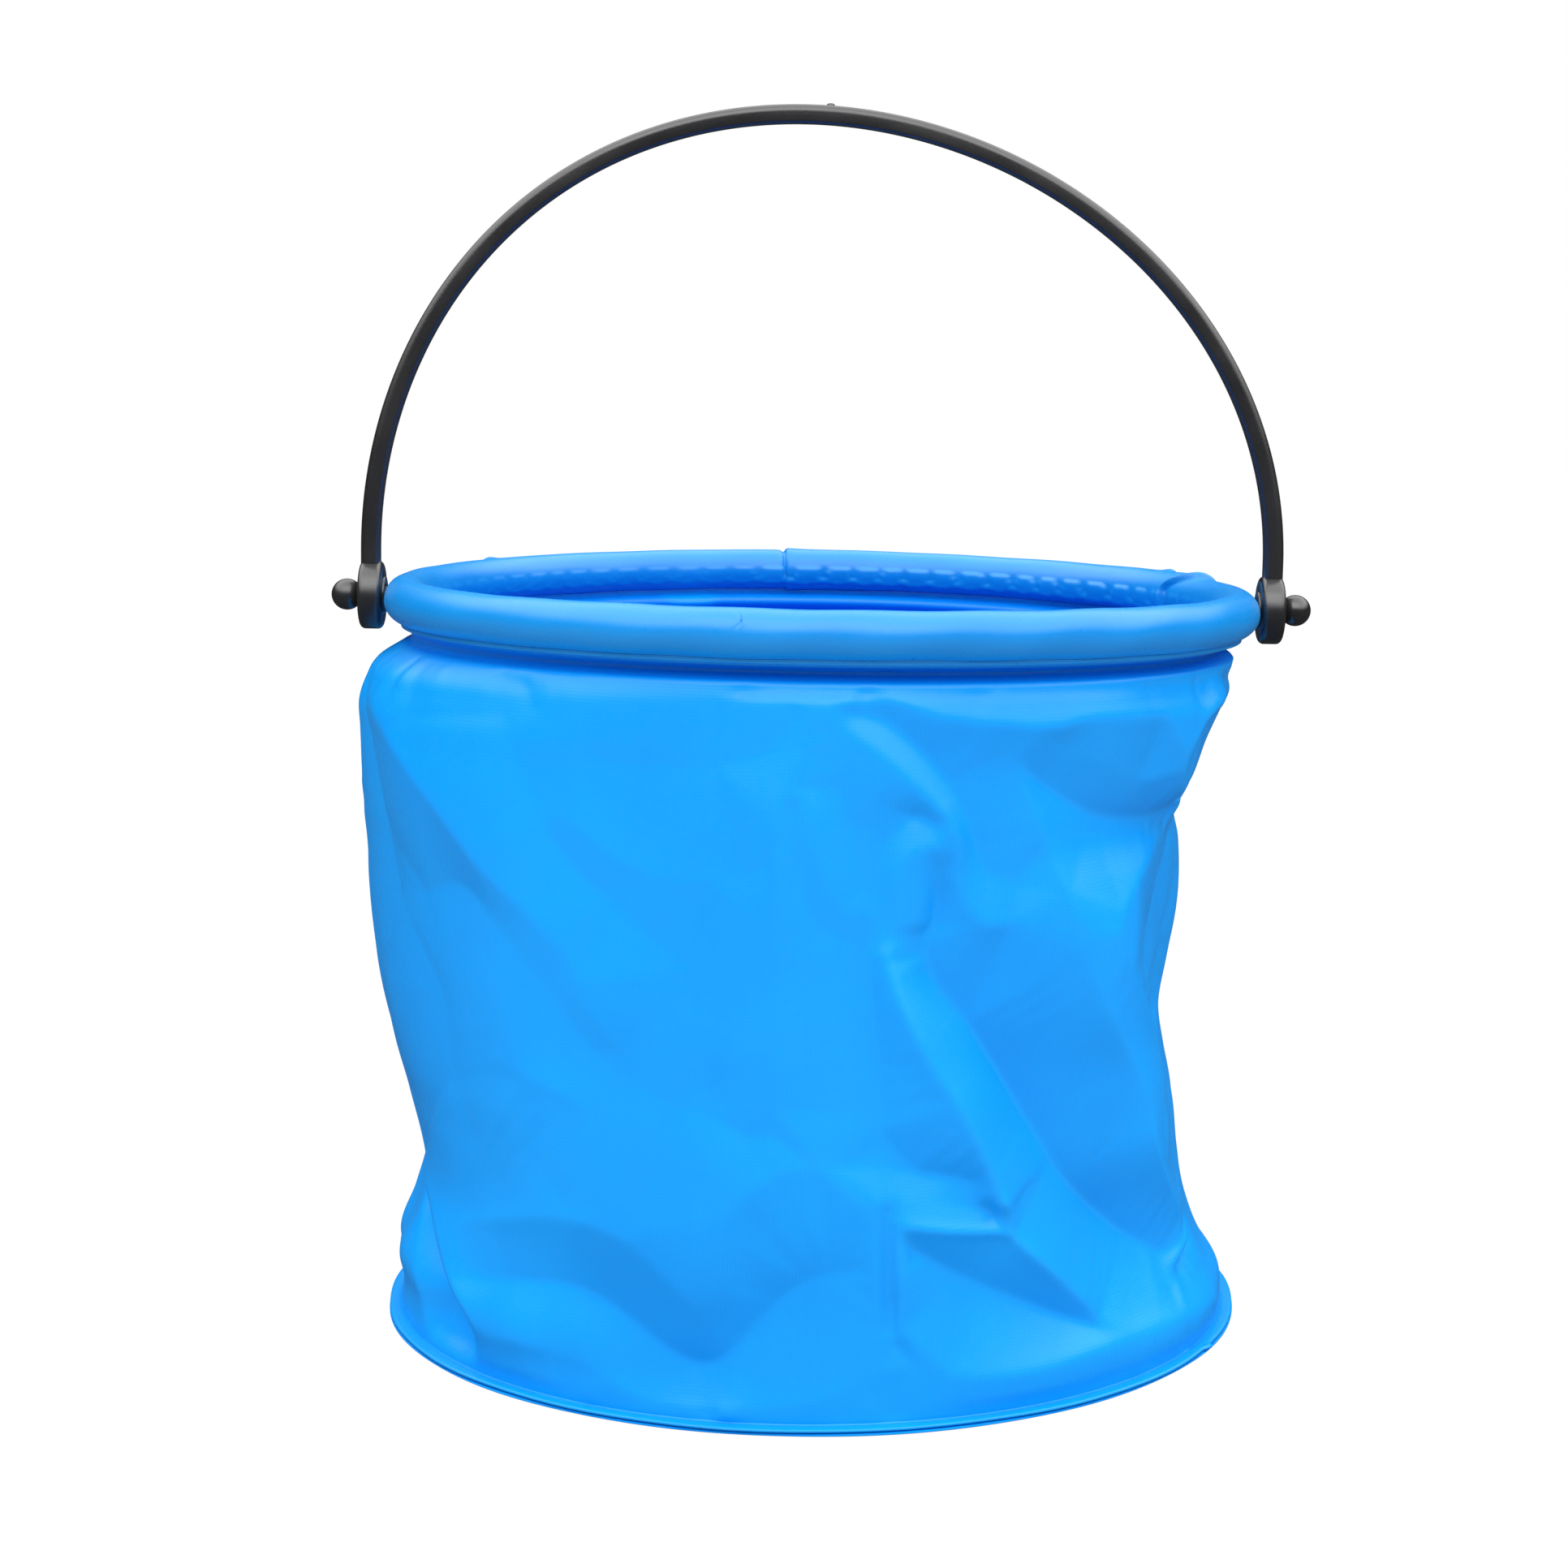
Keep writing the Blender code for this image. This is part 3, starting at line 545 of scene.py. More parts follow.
def crease_net():
    """The creases on the unrolled wall, joined into triangles: corners, rises in mm and triangles."""
    round_length = 2 * math.pi * ring_radius
    lines = []
    for line in front_creases.values():
        lines.append([(*pixel_on_wall(x_px, y_px), rise) for x_px, y_px, rise in line])
    for line in hidden_creases.values():
        lines.append([(math.radians(a), h * wall_height, rise) for a, h, rise in line])
    for height in (0, wall_height):
        lines.append([(math.radians(a), height, 0) for a in range(0, 360, net_edge_degrees)])
    spots, rises, edges = [], [], []
    for line in lines:
        line = smooth_path(line, crease_path_steps)
        for shift in (-round_length, 0, round_length):
            first = len(spots)
            spots += [Vector((a * ring_radius + shift, height)) for a, height, rise in line]
            rises += [rise for a, height, rise in line]
            edges += [(k, k + 1) for k in range(first, len(spots) - 1)]
    corners, joined, faces, sources, _, _ = delaunay_2d_cdt(spots, edges, [], 0, touch)
    found = np.array([np.mean([rises[k] for k in source]) if source else np.nan for source in sources])
    for k in np.flatnonzero(np.isnan(found)):  # where two lines cross
        near = [found[a + b - k] for a, b in joined if k in (a, b)]
        found[k] = np.nanmean(near) if np.isfinite(near).any() else 0.0
    return np.array([tuple(c) for c in corners]), found, faces


def net_rise(across, up):
    """The rise of the creased facets at each spot of the wall's grid, rounded a little at the creases."""
    corners, rises, faces = crease_net()
    moved = np.zeros(across.shape)
    across_step = across[0, 1] - across[0, 0]
    up_step = up[1, 0] - up[0, 0]
    for face in faces:
        (x0, y0), (x1, y1), (x2, y2) = corners[list(face)]
        lowest = max(math.ceil(min(x0, x1, x2) / across_step - touch), 0)
        highest = min(math.floor(max(x0, x1, x2) / across_step + touch), across.shape[1] - 1)
        first = max(math.ceil(min(y0, y1, y2) / up_step - touch), 0)
        last = min(math.floor(max(y0, y1, y2) / up_step + touch), across.shape[0] - 1)
        area = (x1 - x0) * (y2 - y0) - (x2 - x0) * (y1 - y0)
        if lowest > highest or first > last or abs(area) < least_area:
            continue
        part = (slice(first, last + 1), slice(lowest, highest + 1))
        x, y = across[part], up[part]
        b = ((x - x0) * (y2 - y0) - (x2 - x0) * (y - y0)) / area
        c = ((x1 - x0) * (y - y0) - (x - x0) * (y1 - y0)) / area
        inside = (b > -touch) & (c > -touch) & (b + c < 1 + touch)
        r0, r1, r2 = rises[list(face)]
        moved[part] = np.where(inside, r0 + (r1 - r0) * b + (r2 - r0) * c, moved[part])
    for axis, step in ((0, up_step), (1, across_step)):
        span = int(math.ceil(3 * crease_roundness / step))
        weights = np.exp(-0.5 * (np.arange(-span, span + 1) * step / crease_roundness) ** 2)
        weights /= weights.sum()
        if axis:
            moved = sum(w * np.roll(moved, k, 1) for w, k in zip(weights, range(-span, span + 1)))
        else:
            padded = np.pad(moved, ((span, span), (0, 0)), "edge")
            moved = sum(w * padded[k:k + moved.shape[0]] for k, w in enumerate(weights))
    return moved / 1000


def add_puckers(moved, azimuth, away, count, widths, reaches, rises, steepest_lean, widening):
    """Adds puckers that start at a weld, where away is 0."""
    for _ in range(count):
        spot = rng.uniform(0, 2 * math.pi)
        width = rng.uniform(*widths) / 1000
        reach = rng.uniform(*reaches) / 1000
        rise = rng.uniform(*rises) / 1000
        lean = rng.uniform(-steepest_lean, steepest_lean) if steepest_lean else 0.0
        aside = ((azimuth - spot + math.pi) % (2 * math.pi) - math.pi) * ring_radius - lean * away
        along = np.clip(away / pucker_start, 0, 1) * bell(away, reach)
        moved += rise * bell(aside, width + widening * away) * along


def wall_folds(azimuth, share):
    """How far the folds, the puckers at both welds and the sheet's slight waves move the wall out."""
    across = azimuth * ring_radius
    up = share * wall_height
    moved = net_rise(across, up)
    for path_px, left, right, crest in small_folds.values():
        path = []
        for x_px, y_px, rise in path_px:
            turn, height = pixel_on_wall(x_px, y_px)
            path.append((turn * ring_radius, height, rise))
        moved += fold_height(across, up, path, left, right, crest)
    for _ in range(slight_waves):
        turns = int(rng.integers(2, 13))
        slant = rng.uniform(-160, 160)
        moved += rng.uniform(0.03, 0.09) / 1000 * np.sin(turns * azimuth + slant * up + rng.uniform(0, 6.3))
    foot = np.clip(share / foot_fade_share, 0, 1)
    collar = np.clip((1 - share) / collar_fade_share, 0, 1)
    moved *= foot * foot * (3 - 2 * foot) * collar * collar * (3 - 2 * collar)
    add_puckers(moved, azimuth, wall_height - up, *collar_puckers)
    add_puckers(moved, azimuth, up, *foot_puckers)
    return moved


def ring_line(azimuth, drop):
    """Points on the middle line of the rim, a drop below it, in the frame of the model."""
    return place(stack(ring_radius * np.cos(azimuth), ring_radius * np.sin(azimuth),
                       rim_saddle * np.sin(azimuth) ** 2 - drop), rim_place)


def level_ring(radius, turns, height):
    """A level ring of points round the base's middle."""
    return stack(base_shift + radius * np.cos(turns), radius * np.sin(turns), np.full(wall_steps, height))


def inner_tuck(azimuth, height):
    """How far the small pleat of the back wall moves it inwards."""
    aside = (azimuth - math.radians(tuck_degrees)) * ring_radius / tuck_half_width
    above = (height - tuck_height) / tuck_half_height
    return tuck_depth * np.clip(1 - aside ** 2 - above ** 2, 0, 1) ** tuck_roundness


def wall_points(turns):
    """The wall's rows: the hem of its foot, its body with every fold, and its top in the sleeve."""
    wave = 1 + 0.0016 * np.sin(7 * turns + 1.0) + 0.0009 * np.sin(17 * turns)
    wave += 0.009 * bell(turns - math.radians(hem_corner_degrees), math.radians(0.9))
    hem = [level_ring(radius * (wave if waved else 1), turns, hem_height) for radius, waved in hem_rows]

    azimuth, share = np.meshgrid(turns, np.linspace(0, 1, wall_rows))
    collar = ring_line(turns, collar_drop)[:, 2]
    height = hem_height + share * (collar[None, :] - hem_height)
    reach = plain_reach(azimuth, share) + wall_folds(azimuth, share) - inner_tuck(azimuth, height)
    middle = base_shift * (1 - share)
    body = stack(middle + reach * np.cos(azimuth), reach * np.sin(azimuth), height)

    top = []
    for drop, pull in gather_rows:
        spots = ring_line(turns, drop)
        tuck = np.where(drop > tuck_end_drop, inner_tuck(turns, spots[:, 2]), 0)
        pulled = pull * (1 - left_ease_share * np.clip(-np.cos(turns), 0, 1) ** 2)
        spots[:, :2] *= (1 - (pulled + tuck) / ring_radius)[:, None]
        top.append(spots)
    return np.concatenate([np.array(hem), body, np.array(top)], axis=0)


def map_sheet(mesh, points):
    """Lays the unrolled sheet on the wall, which gives the weave its direction."""
    lengths = np.linalg.norm(np.diff(points, axis=0), axis=2).mean(axis=1)
    climbed = np.concatenate([[0], np.cumsum(lengths)])
    sheet_map = mesh.uv_layers.new(name="sheet")
    corner = np.zeros(len(mesh.loops), int)
    mesh.loops.foreach_get("vertex_index", corner)
    row, column = corner // wall_steps, corner % wall_steps
    far_side = np.arange(len(corner)) % 4 % 3 != 0  # corners 1 and 2 of each quad
    wrapped = np.where((column == 0) & far_side, wall_steps, column)
    spots = stack(wrapped * 2 * math.pi * ring_radius / wall_steps, climbed[row])
    sheet_map.data.foreach_set("uv", spots.reshape(-1))


def crease_marks(points):
    """1 where the sheet is creased most sharply, and 0 where it is plain or at either end. The wall pales
    there, partly stress whitening and partly a painted highlight.
    """
    bend = np.abs(points - (np.roll(points, 1, 1) + np.roll(points, -1, 1)) / 2).sum(axis=2)
    bend[1:-1] += np.abs(points[1:-1] - (points[:-2] + points[2:]) / 2).sum(axis=2)
    curvature = bend / (2 * math.pi * ring_radius / wall_steps) ** 2
    marks = np.clip((curvature - plain_curvature) / (sharp_curvature - plain_curvature), 0, 1)
    marks[:len(hem_rows) + 1] = 0
    marks[-len(gather_rows) - 2:] = 0
    return marks


def painted_shade_marks(turns, shape):
    """1 on the strip that is welded to the rim's sleeve, where a deeper blue is painted shade standing in for
    the rim's shadow.
    """
    marks = np.zeros(shape)
    marks[-len(gather_rows):] = 1.0
    marks[-len(gather_rows) - 1] = 0.5
    # Less painted shade where the pleat bulges into the light
    tucked = np.clip(inner_tuck(turns, tuck_shade_height) / tuck_shade_depth, 0, 1)
    marks *= 1 - tuck_shade_share * tucked[None, :]
    return marks


def make_wall(finish):
    turns = even_turns(wall_steps)
    points = wall_points(turns)
    mesh = grid_mesh("bucket_wall", points)
    map_sheet(mesh, points)
    store(mesh, "crease", crease_marks(points))
    # The weld attribute holds painted shade: the rim's shadow on the strip below it
    store(mesh, "weld", painted_shade_marks(turns, points.shape[:2]))
    made = link("bucket_wall", mesh, "base", finish, sharp_degrees=0)
    thicken(made, sheet_thickness - wall_ease)
    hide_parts("body_wall")
    return made


def make_floor(finish):
    turns = even_turns(wall_steps)
    wave = 1 + 0.0014 * np.sin(5 * turns + 2.2) + 0.0008 * np.sin(13 * turns + 0.7)
    half = sheet_thickness / 2 - floor_ease
    profile = [(radius, half * share) for radius, share in floor_rows]
    profile += [(radius, -height) for radius, height in reversed(profile)]
    rings = []
    for radius, height in profile:
        waved = wave if radius > floor_wave_radius else 1
        rings.append(level_ring(radius * waved, turns, sheet_thickness / 2 + height))
    mesh = grid_mesh("bucket_floor", np.array(rings), caps=True)
    made = link("bucket_floor", mesh, "base", finish)
    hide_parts("floor_panel")
    return made


# The rim's sleeve

# Places round the rim, in degrees of azimuth, with the finer steps before and after them
lap_degrees = 17.0
joint_degrees = 95.0
mark_degrees = 259.6
fine_step_degrees = 0.12
fine_spans_degrees = ((lap_degrees, 1, 8), (joint_degrees, 1.2, 1.0), (mark_degrees, 1.6, 1.6))

# Rows of the section round the tube and down its two skirts, which show for a share of their drop
tube_rows = 84
inner_skirt_rows = 6
outer_skirt_rows = 5
skirt_share = 0.3

# The weld tabs inside are strongest at the back right. Places round the section are in degrees, where
# 90 is straight down, 180 faces the middle of the bucket and 270 is the top. A pair of them is where
# something starts and where it is full
tab_count = 74
tab_rise = 0.00055
tab_middle_degrees = 62
tab_full_degrees = 30
tab_faint_degrees = 42
tab_start = (140, 150)
tab_line = 158
tab_scallop = 31
tab_edge = 5
bead_rise = 0.00045
bead_place = 143
bead_width = 6

# The lapped end, the joint and the small mark. A triple is a ridge's place past the edge, its width and
# its rise
cut_edge = (-0.0001, 0.0005)
lap_slant_degrees = 5.5
lap_curve = (195, 275)
lap_start = (120, 135)
lap_rise = 0.00090
lap_length = 0.028
lap_bead = (0.0008, 0.0007, 0.00050)
lap_shade = (-0.0009, 0.0009, -0.00030)
joint_start = (150, 170)
joint_rise = 0.0005
joint_length = 0.012
joint_gap = (-0.0007, 0.0006, -0.0006)
mark_place = 323
mark_bow = 0.0007
mark_curl = 0.0015
mark_half_length = 0.0014
mark_dent = (0, 0.00032, -0.00045)
mark_lip = (0, 0.0011, 0.00018)

# Two small nubs: azimuth and place round the section in degrees, and rise in millimetres
nubs = ((147, 300, 0.9), (28, 300, 1.0))
nub_half_length = 0.0022
nub_half_width = 0.0012


def sleeve_section():
    """The sleeve's section from inner to outer skirt: radius from the ring and height, and turn round it."""
    opening = math.asin(slit_half_width / sleeve_mid_radius)
    turns = np.linspace(-math.pi / 2 - opening, -2.5 * math.pi + opening, tube_rows)
    wrap = stack(sleeve_mid_radius * np.cos(turns), sleeve_mid_radius * np.sin(turns))
    inner_end = -rim_section_radius - inner_skirt_drop * skirt_share
    outer_end = -rim_section_radius - outer_skirt_drop * skirt_share
    inner = stack(np.full(inner_skirt_rows, -slit_half_width),
                  np.linspace(inner_end, wrap[0, 1], inner_skirt_rows + 1)[:-1])
    outer = stack(np.full(outer_skirt_rows, slit_half_width),
                  np.linspace(wrap[-1, 1], outer_end, outer_skirt_rows + 1)[1:])
    turn = np.concatenate([np.full(inner_skirt_rows, np.nan), turns, np.full(outer_skirt_rows, np.nan)])
    return np.concatenate([inner, wrap, outer]), turn


def sleeve_azimuths():
    """Even steps round the rim, with finer ones at the lap, the joint and the mark."""
    fine = [np.arange(at - before, at + after, fine_step_degrees) for at, before, after in fine_spans_degrees]
    even = np.arange(ring_steps) * 360 / ring_steps
    for part in fine:
        even = even[(even < part[0] - 0.1) | (even > part[-1] + 0.1)]
    return np.radians(np.sort(np.concatenate([even, *fine])))


def ridge(past, place_past, width, rise):
    return rise * bell(past - place_past, width)


def lifted_end(past, length):
    """A cut end, which stands out at its edge and settles over a length."""
    return soft_step(past, *cut_edge) * np.exp(-np.clip(past, 0, None) / length)


def sleeve_relief(wide, inward):
    """The sleeve's relief at each azimuth in radians and each place round the section in degrees."""
    # Weld tabs on the inner side below a scalloped line, and a broken bead where the inner skirt starts
    phase = wide / (2 * math.pi / tab_count) + 0.16 * np.sin(5 * wide) + 0.10 * np.sin(13 * wide + 1)
    scallop = soft_step(np.cos(2 * math.pi * phase), -0.80, -0.30)
    strength = 0.30 + 0.70 * soft_step(np.cos(wide - math.radians(tab_middle_degrees)),
                                       math.cos(math.radians(tab_faint_degrees)),
                                       math.cos(math.radians(tab_full_degrees)))
    line = tab_line + tab_scallop * scallop
    tabs = soft_step(inward, *tab_start) * (1 - soft_step(inward, line - tab_edge, line + tab_edge))
    raised = tab_rise * strength * tabs
    dash = soft_step(np.sin(2 * math.pi * phase + 1.1) + 0.5 * np.sin(11 * wide), -0.1, 0.3)
    bead = ridge(inward, bead_place, bead_width, bead_rise)
    raised += bead * (0.25 + 0.75 * dash) * (0.5 + 0.5 * strength)

    # The lapped end, whose edge curves from the top of the tube to its inner side
    edge = math.radians(lap_degrees) + math.radians(lap_slant_degrees) * (1 - soft_step(inward, *lap_curve))
    past = (wide - edge) * ring_radius
    lap = lap_rise * lifted_end(past, lap_length) + ridge(past, *lap_bead) + ridge(past, *lap_shade)
    raised += lap * soft_step(inward, *lap_start)

    # The joint at the back, with its end a little open
    past = (math.radians(joint_degrees) - wide) * ring_radius
    raised += joint_rise * lifted_end(past, joint_length)
    raised += ridge(past, *joint_gap) * soft_step(inward, *joint_start)

    # A crescent mark on the front, as a tool or a gate leaves
    aside = (wide - math.radians(mark_degrees)) * ring_radius
    around = np.radians(inward - mark_place) * sleeve_mid_radius
    across = aside - mark_bow * (1 - (around / mark_curl) ** 2)
    reach = bell(around, mark_half_length, power=4)
    raised += (ridge(across, *mark_dent) + ridge(across, *mark_lip)) * reach

    # Slight unevenness of the welded tube, and the nubs
    for _ in range(10):
        rise = rng.uniform(0.008, 0.025) / 1000
        waves = int(rng.integers(3, 26)) * wide + np.radians(inward) * int(rng.integers(1, 4))
        raised += rise * np.sin(waves + rng.uniform(0, 6.3))
    for azimuth_degrees, round_degrees, rise in nubs:
        aside = (wide - math.radians(azimuth_degrees)) * ring_radius
        around = np.radians(inward - round_degrees) * sleeve_mid_radius
        raised += rise / 1000 * np.exp(-(aside / nub_half_length) ** 2 - (around / nub_half_width) ** 2)
    return raised


def make_sleeve(finish):
    section, turn = sleeve_section()
    azimuth = sleeve_azimuths()
    on_tube = ~np.isnan(turn)
    turn = np.nan_to_num(turn)
    wide = azimuth[None, :] * np.ones((len(section), 1))
    raised = sleeve_relief(wide, np.degrees(-turn)[:, None] * np.ones(len(azimuth))) * on_tube[:, None]
    radial = section[:, 0][:, None] + raised * np.cos(turn)[:, None]
    height = section[:, 1][:, None] + raised * np.sin(turn)[:, None]
    local = stack((ring_radius + radial) * np.cos(wide), (ring_radius + radial) * np.sin(wide),
                  height + rim_saddle * np.sin(wide) ** 2)
    mesh = grid_mesh("rim_sheet", place(local, rim_place))
    made = link("rim_sheet", mesh, "rim", finish, sharp_degrees=0)
    thicken(made, sheet_thickness)
    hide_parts("rim_sleeve")
    return made


# The bail and its pins

strap_foot_share = 0.72  # the strap starts inside the eye, at this share of its radius
leg_steps = 7
corner_steps = 8
inner_face_shares = (0.55, 0.42, 0.0, -0.42, -0.55)

# Turned sections: radius, and distance along the axis
gate_profile = ((0.0009, -0.0006), (0.0009, 0.0001), (0.00075, 0.0003), (0.0004, 0.0004), (0.00012, 0.00042))
eye_rounding = 0.0012
edge_break = 0.0001
edge_flare = 0.0003
ball_pole_angle = 0.03
ball_rows = 40
neck_overlap = 0.0006


def strap_section():
    """The strap's section. Points across its flat inner face keep the paler edges, partly wear and partly
    painted highlight, off it.
    """
    half_width, half_depth = strap_width / 2, strap_depth / 2
    points = []
    for quarter, (x, y, rounding) in enumerate((
        (half_width, half_depth, strap_outer_round),
        (-half_width, half_depth, strap_inner_round),
        (-half_width, -half_depth, strap_inner_round),
        (half_width, -half_depth, strap_outer_round),
    )):
        cx, cy = x - math.copysign(rounding, x), y - math.copysign(rounding, y)
        for k in range(corner_steps + 1):
            turn = (quarter + k / corner_steps) * math.pi / 2
            points.append((cx + rounding * math.cos(turn), cy + rounding * math.sin(turn)))
        if quarter == 1:
            points += [(-half_width, share * half_depth) for share in inner_face_shares]
    return np.array(points)


def bail_line(turn):
    x = bail_half_span * np.cos(turn) + bail_lean * np.sin(turn) ** 2
    return stack(x, bail_leg + bail_rise * np.sin(turn))


def make_bail(finish):
    arc = bail_line(np.linspace(0, math.pi, bail_steps))
    legs = np.linspace(eye_radius * strap_foot_share, bail_leg, leg_steps + 1)[:-1]
    right = stack(np.full(leg_steps, bail_half_span), legs)
    left = stack(np.full(leg_steps, -bail_half_span), legs[::-1])
    line = np.concatenate([right, arc, left])
    along = np.gradient(line, axis=0)
    along /= np.linalg.norm(along, axis=1)[:, None]
    across, deep = strap_section().T
    points = stack(line[:, :1] + along[:, 1:] * across, 0 * line[:, :1] + deep,
                   line[:, 1:] - along[:, :1] * across)
    mesh = grid_mesh("bail_strap", place(points, rim_place), caps=True)
    strap = link("bail_strap", mesh, "bail", finish)
    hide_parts("bail")

    for label, side in (("right", 1), ("left", -1)):
        eye = turned_piece("bail_eye_" + label, eye_profile(), side, "bail", finish,
                           closed=True)
        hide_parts("bail")
    turned_piece("bail_gate", gate_profile, 0, "bail", finish,
                 lift=bail_leg + bail_rise + strap_width / 2)


def eye_profile():
    """The eye's section, from its outer face over its edge to its boss and through its bore."""
    corner = eye_radius - eye_rounding
    quarter = np.linspace(0, math.pi / 2, corner_steps + 1)
    outer = [(corner + eye_rounding * math.sin(a), eye_outer_face - eye_rounding + eye_rounding * math.cos(a))
             for a in quarter]
    inner = [(corner + eye_rounding * math.cos(a), eye_inner_face + eye_rounding - eye_rounding * math.sin(a))
             for a in quarter]
    boss = [
        (boss_radius + edge_flare, eye_inner_face),
        (boss_radius, eye_inner_face + edge_break - boss_height / 2),
        (boss_radius, boss_end + edge_break),
        (boss_radius - edge_break, boss_end),
        (bore_radius + edge_break, boss_end),
        (bore_radius, boss_end + edge_break),
        (bore_radius, eye_outer_face - edge_flare),
        (bore_radius + edge_flare, eye_outer_face),
    ]
    return outer + inner + boss


def turned_piece(name, profile, side, body, finish, closed=False, lift=0.0):
    """A turned piece along the pivot axis (side 1 or -1), or upright at a height above it (side 0)."""
    turns = even_turns(turned_steps)
    rings = [stack(r * np.cos(turns), r * np.sin(turns), np.full(turned_steps, z)) for r, z in profile]
    mesh = grid_mesh(name, np.array(rings), closed=closed, caps=not closed)
    if side:
        mesh.transform(Matrix.Rotation(side * math.pi / 2, 4, "Y"))
    else:
        mesh.transform(Matrix.Translation((0, 0, lift)))
    mesh.transform(rim_place)
    return link(name, mesh, body, finish)


def make_pins(finish):
    neck = math.asin(shank_radius / ball_radius)
    ball = [(ball_radius * math.sin(a), ball_centre + ball_radius * math.cos(a))
            for a in np.linspace(ball_pole_angle, math.pi - neck, ball_rows)]
    shank = [(shank_radius, ball_centre - ball_radius * math.cos(neck) - neck_overlap),
             (shank_radius, ring_radius + rim_section_radius - sheet_thickness)]
    for label, side in (("right", 1), ("left", -1)):
        pin = turned_piece("pin_head_" + label, ball + shank, side, "rim", finish)
        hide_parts("pivot_pin_" + label)


# Materials

# Painted shade: the deep navy of the wall's strip just below the rim, in place of the rim's shadow
painted_shade_blue = (0.0, 0.235, 0.84)
pale_share = 0.15
thread_pitch = 420.0
weave_height = 0.00012
moulding_height = 0.00008


class Graph:
    """A short way to write a node tree."""

    def __init__(self, tree):
        self.tree = tree

    def add(self, kind, props=None, **inputs):
        """A new node. Inputs go by their label, with _ for a space, or by their place as i0, i1 and so on."""
        node = self.tree.nodes.new(kind)
        for name, value in (props or {}).items():
            setattr(node, name, value)
        for name, value in inputs.items():
            by_place = name[0] == "i" and name[1:].isdigit()
            self.put(node.inputs[int(name[1:]) if by_place else name.replace("_", " ")], value)
        return node

    def put(self, socket, value):
        if isinstance(value, bpy.types.NodeSocket):
            self.tree.links.new(value, socket)
        elif isinstance(value, tuple) and len(value) == 3 and len(socket.default_value) == 4:
            socket.default_value = (*value, 1.0)
        else:
            socket.default_value = value

    def math(self, operation, first, second=0.0):
        return self.add("ShaderNodeMath", {"operation": operation}, i0=first, i1=second).outputs[0]

    def blend(self, share, first, second):
        """A mix of two colours: inputs 6 and 7 of the node, and its output 2, are those for colours."""
        node = self.add("ShaderNodeMix", {"data_type": "RGBA"}, i0=share, i6=first, i7=second)
        return node.outputs[2]

    def spread(self, value, low, high, to_low=0.0, to_high=1.0):
        return self.add("ShaderNodeMapRange", i0=value, i1=low, i2=high, i3=to_low, i4=to_high).outputs[0]

    def noise(self, where, scale, detail, roughness):
        return self.add("ShaderNodeTexNoise", Vector=where, Scale=scale, Detail=detail,
                        Roughness=roughness).outputs[0]


def new_material(name):
    made = bpy.data.materials.new(name)
    made.use_nodes = True
    return made, Graph(made.node_tree), made.node_tree.nodes["Principled BSDF"]


def surface(graph, shader, colour, roughness, gloss, strength, height, grain):
    graph.put(shader.inputs["Base Color"], colour)
    graph.put(shader.inputs["Roughness"], roughness)
    graph.put(shader.inputs["Specular IOR Level"], gloss)
    bump = graph.add("ShaderNodeBump", Strength=strength, Distance=height, Height=grain)
    graph.put(shader.inputs["Normal"], bump.outputs[0])


def sheet_material(name, deep, plain, roughness, gloss, weave_depth, pale=None):
    """Satin coated sheet with soft mottling. With a pale colour, as on the wall, it also has paler creases,
    partly stress whitening and partly painted highlight, painted shade on the strip of its weld below the
    rim, and the threads of its backing."""
    made, graph, shader = new_material(name)
    where = graph.add("ShaderNodeTexCoord").outputs
    soft = graph.noise(where["Object"], 22.0, 3.0, 0.55)
    fine = graph.noise(where["Object"], 900.0, 2.0, 0.6)
    colour = graph.blend(graph.spread(soft, 0.35, 0.68), deep, plain)
    grain = graph.math("MULTIPLY", fine, 0.6)
    if pale:
        # The creases pale: partly stress whitening, partly a painted highlight
        mark = graph.add("ShaderNodeAttribute", {"attribute_name": "crease"}).outputs["Fac"]
        colour = graph.blend(graph.math("MULTIPLY", mark, pale_share), colour, pale)
        # Painted shade: the strip below the rim turns a deeper blue, as the rim's shadow
        strip = graph.add("ShaderNodeAttribute", {"attribute_name": "weld"}).outputs["Fac"]
        colour = graph.blend(strip, colour, painted_shade_blue)
        for axis in ("X", "Y"):
            bands = {"wave_type": "BANDS", "bands_direction": axis, "wave_profile": "SIN"}
            thread = graph.add("ShaderNodeTexWave", bands, Vector=where["UV"], Scale=thread_pitch,
                               Distortion=0.0).outputs["Fac"]
            grain = graph.math("ADD", grain, graph.math("MULTIPLY", thread, 0.22))
    rough = graph.spread(fine, 0.3, 0.7, roughness - 0.05, roughness + 0.06)
    surface(graph, shader, colour, rough, gloss, weave_depth, weave_height, grain)
    return made


def plastic_material(name, plain, worn_highlit, roughness):
    """Moulded plastic: fine texture, faint flow marks and paler edges, partly wear and partly a painted
    highlight.
    """
    made, graph, shader = new_material(name)
    where = graph.add("ShaderNodeTexCoord").outputs["Object"]
    grain = graph.noise(where, 1800.0, 2.0, 0.6)
    flow = graph.noise(where, 60.0, 3.0, 0.5)
    # Paler edges: partly wear, partly a painted highlight where the edges are sharpest
    edge = graph.add("ShaderNodeNewGeometry").outputs["Pointiness"]
    rubbed_highlight = graph.math("MULTIPLY", graph.spread(edge, 0.51, 0.56), graph.spread(flow, 0.4, 0.65))
    colour = graph.blend(graph.math("MULTIPLY", rubbed_highlight, 0.5), plain, worn_highlit)
    rough = graph.spread(flow, 0.3, 0.7, roughness - 0.05, roughness + 0.07)
    surface(graph, shader, colour, rough, 1.0, 0.25, moulding_height, grain)
    return made


# Stage, light and camera

stage_radius = 4.0
stage_drop = 0.0001
stage_grey = 0.45
white = (1.0, 1.0, 1.0)

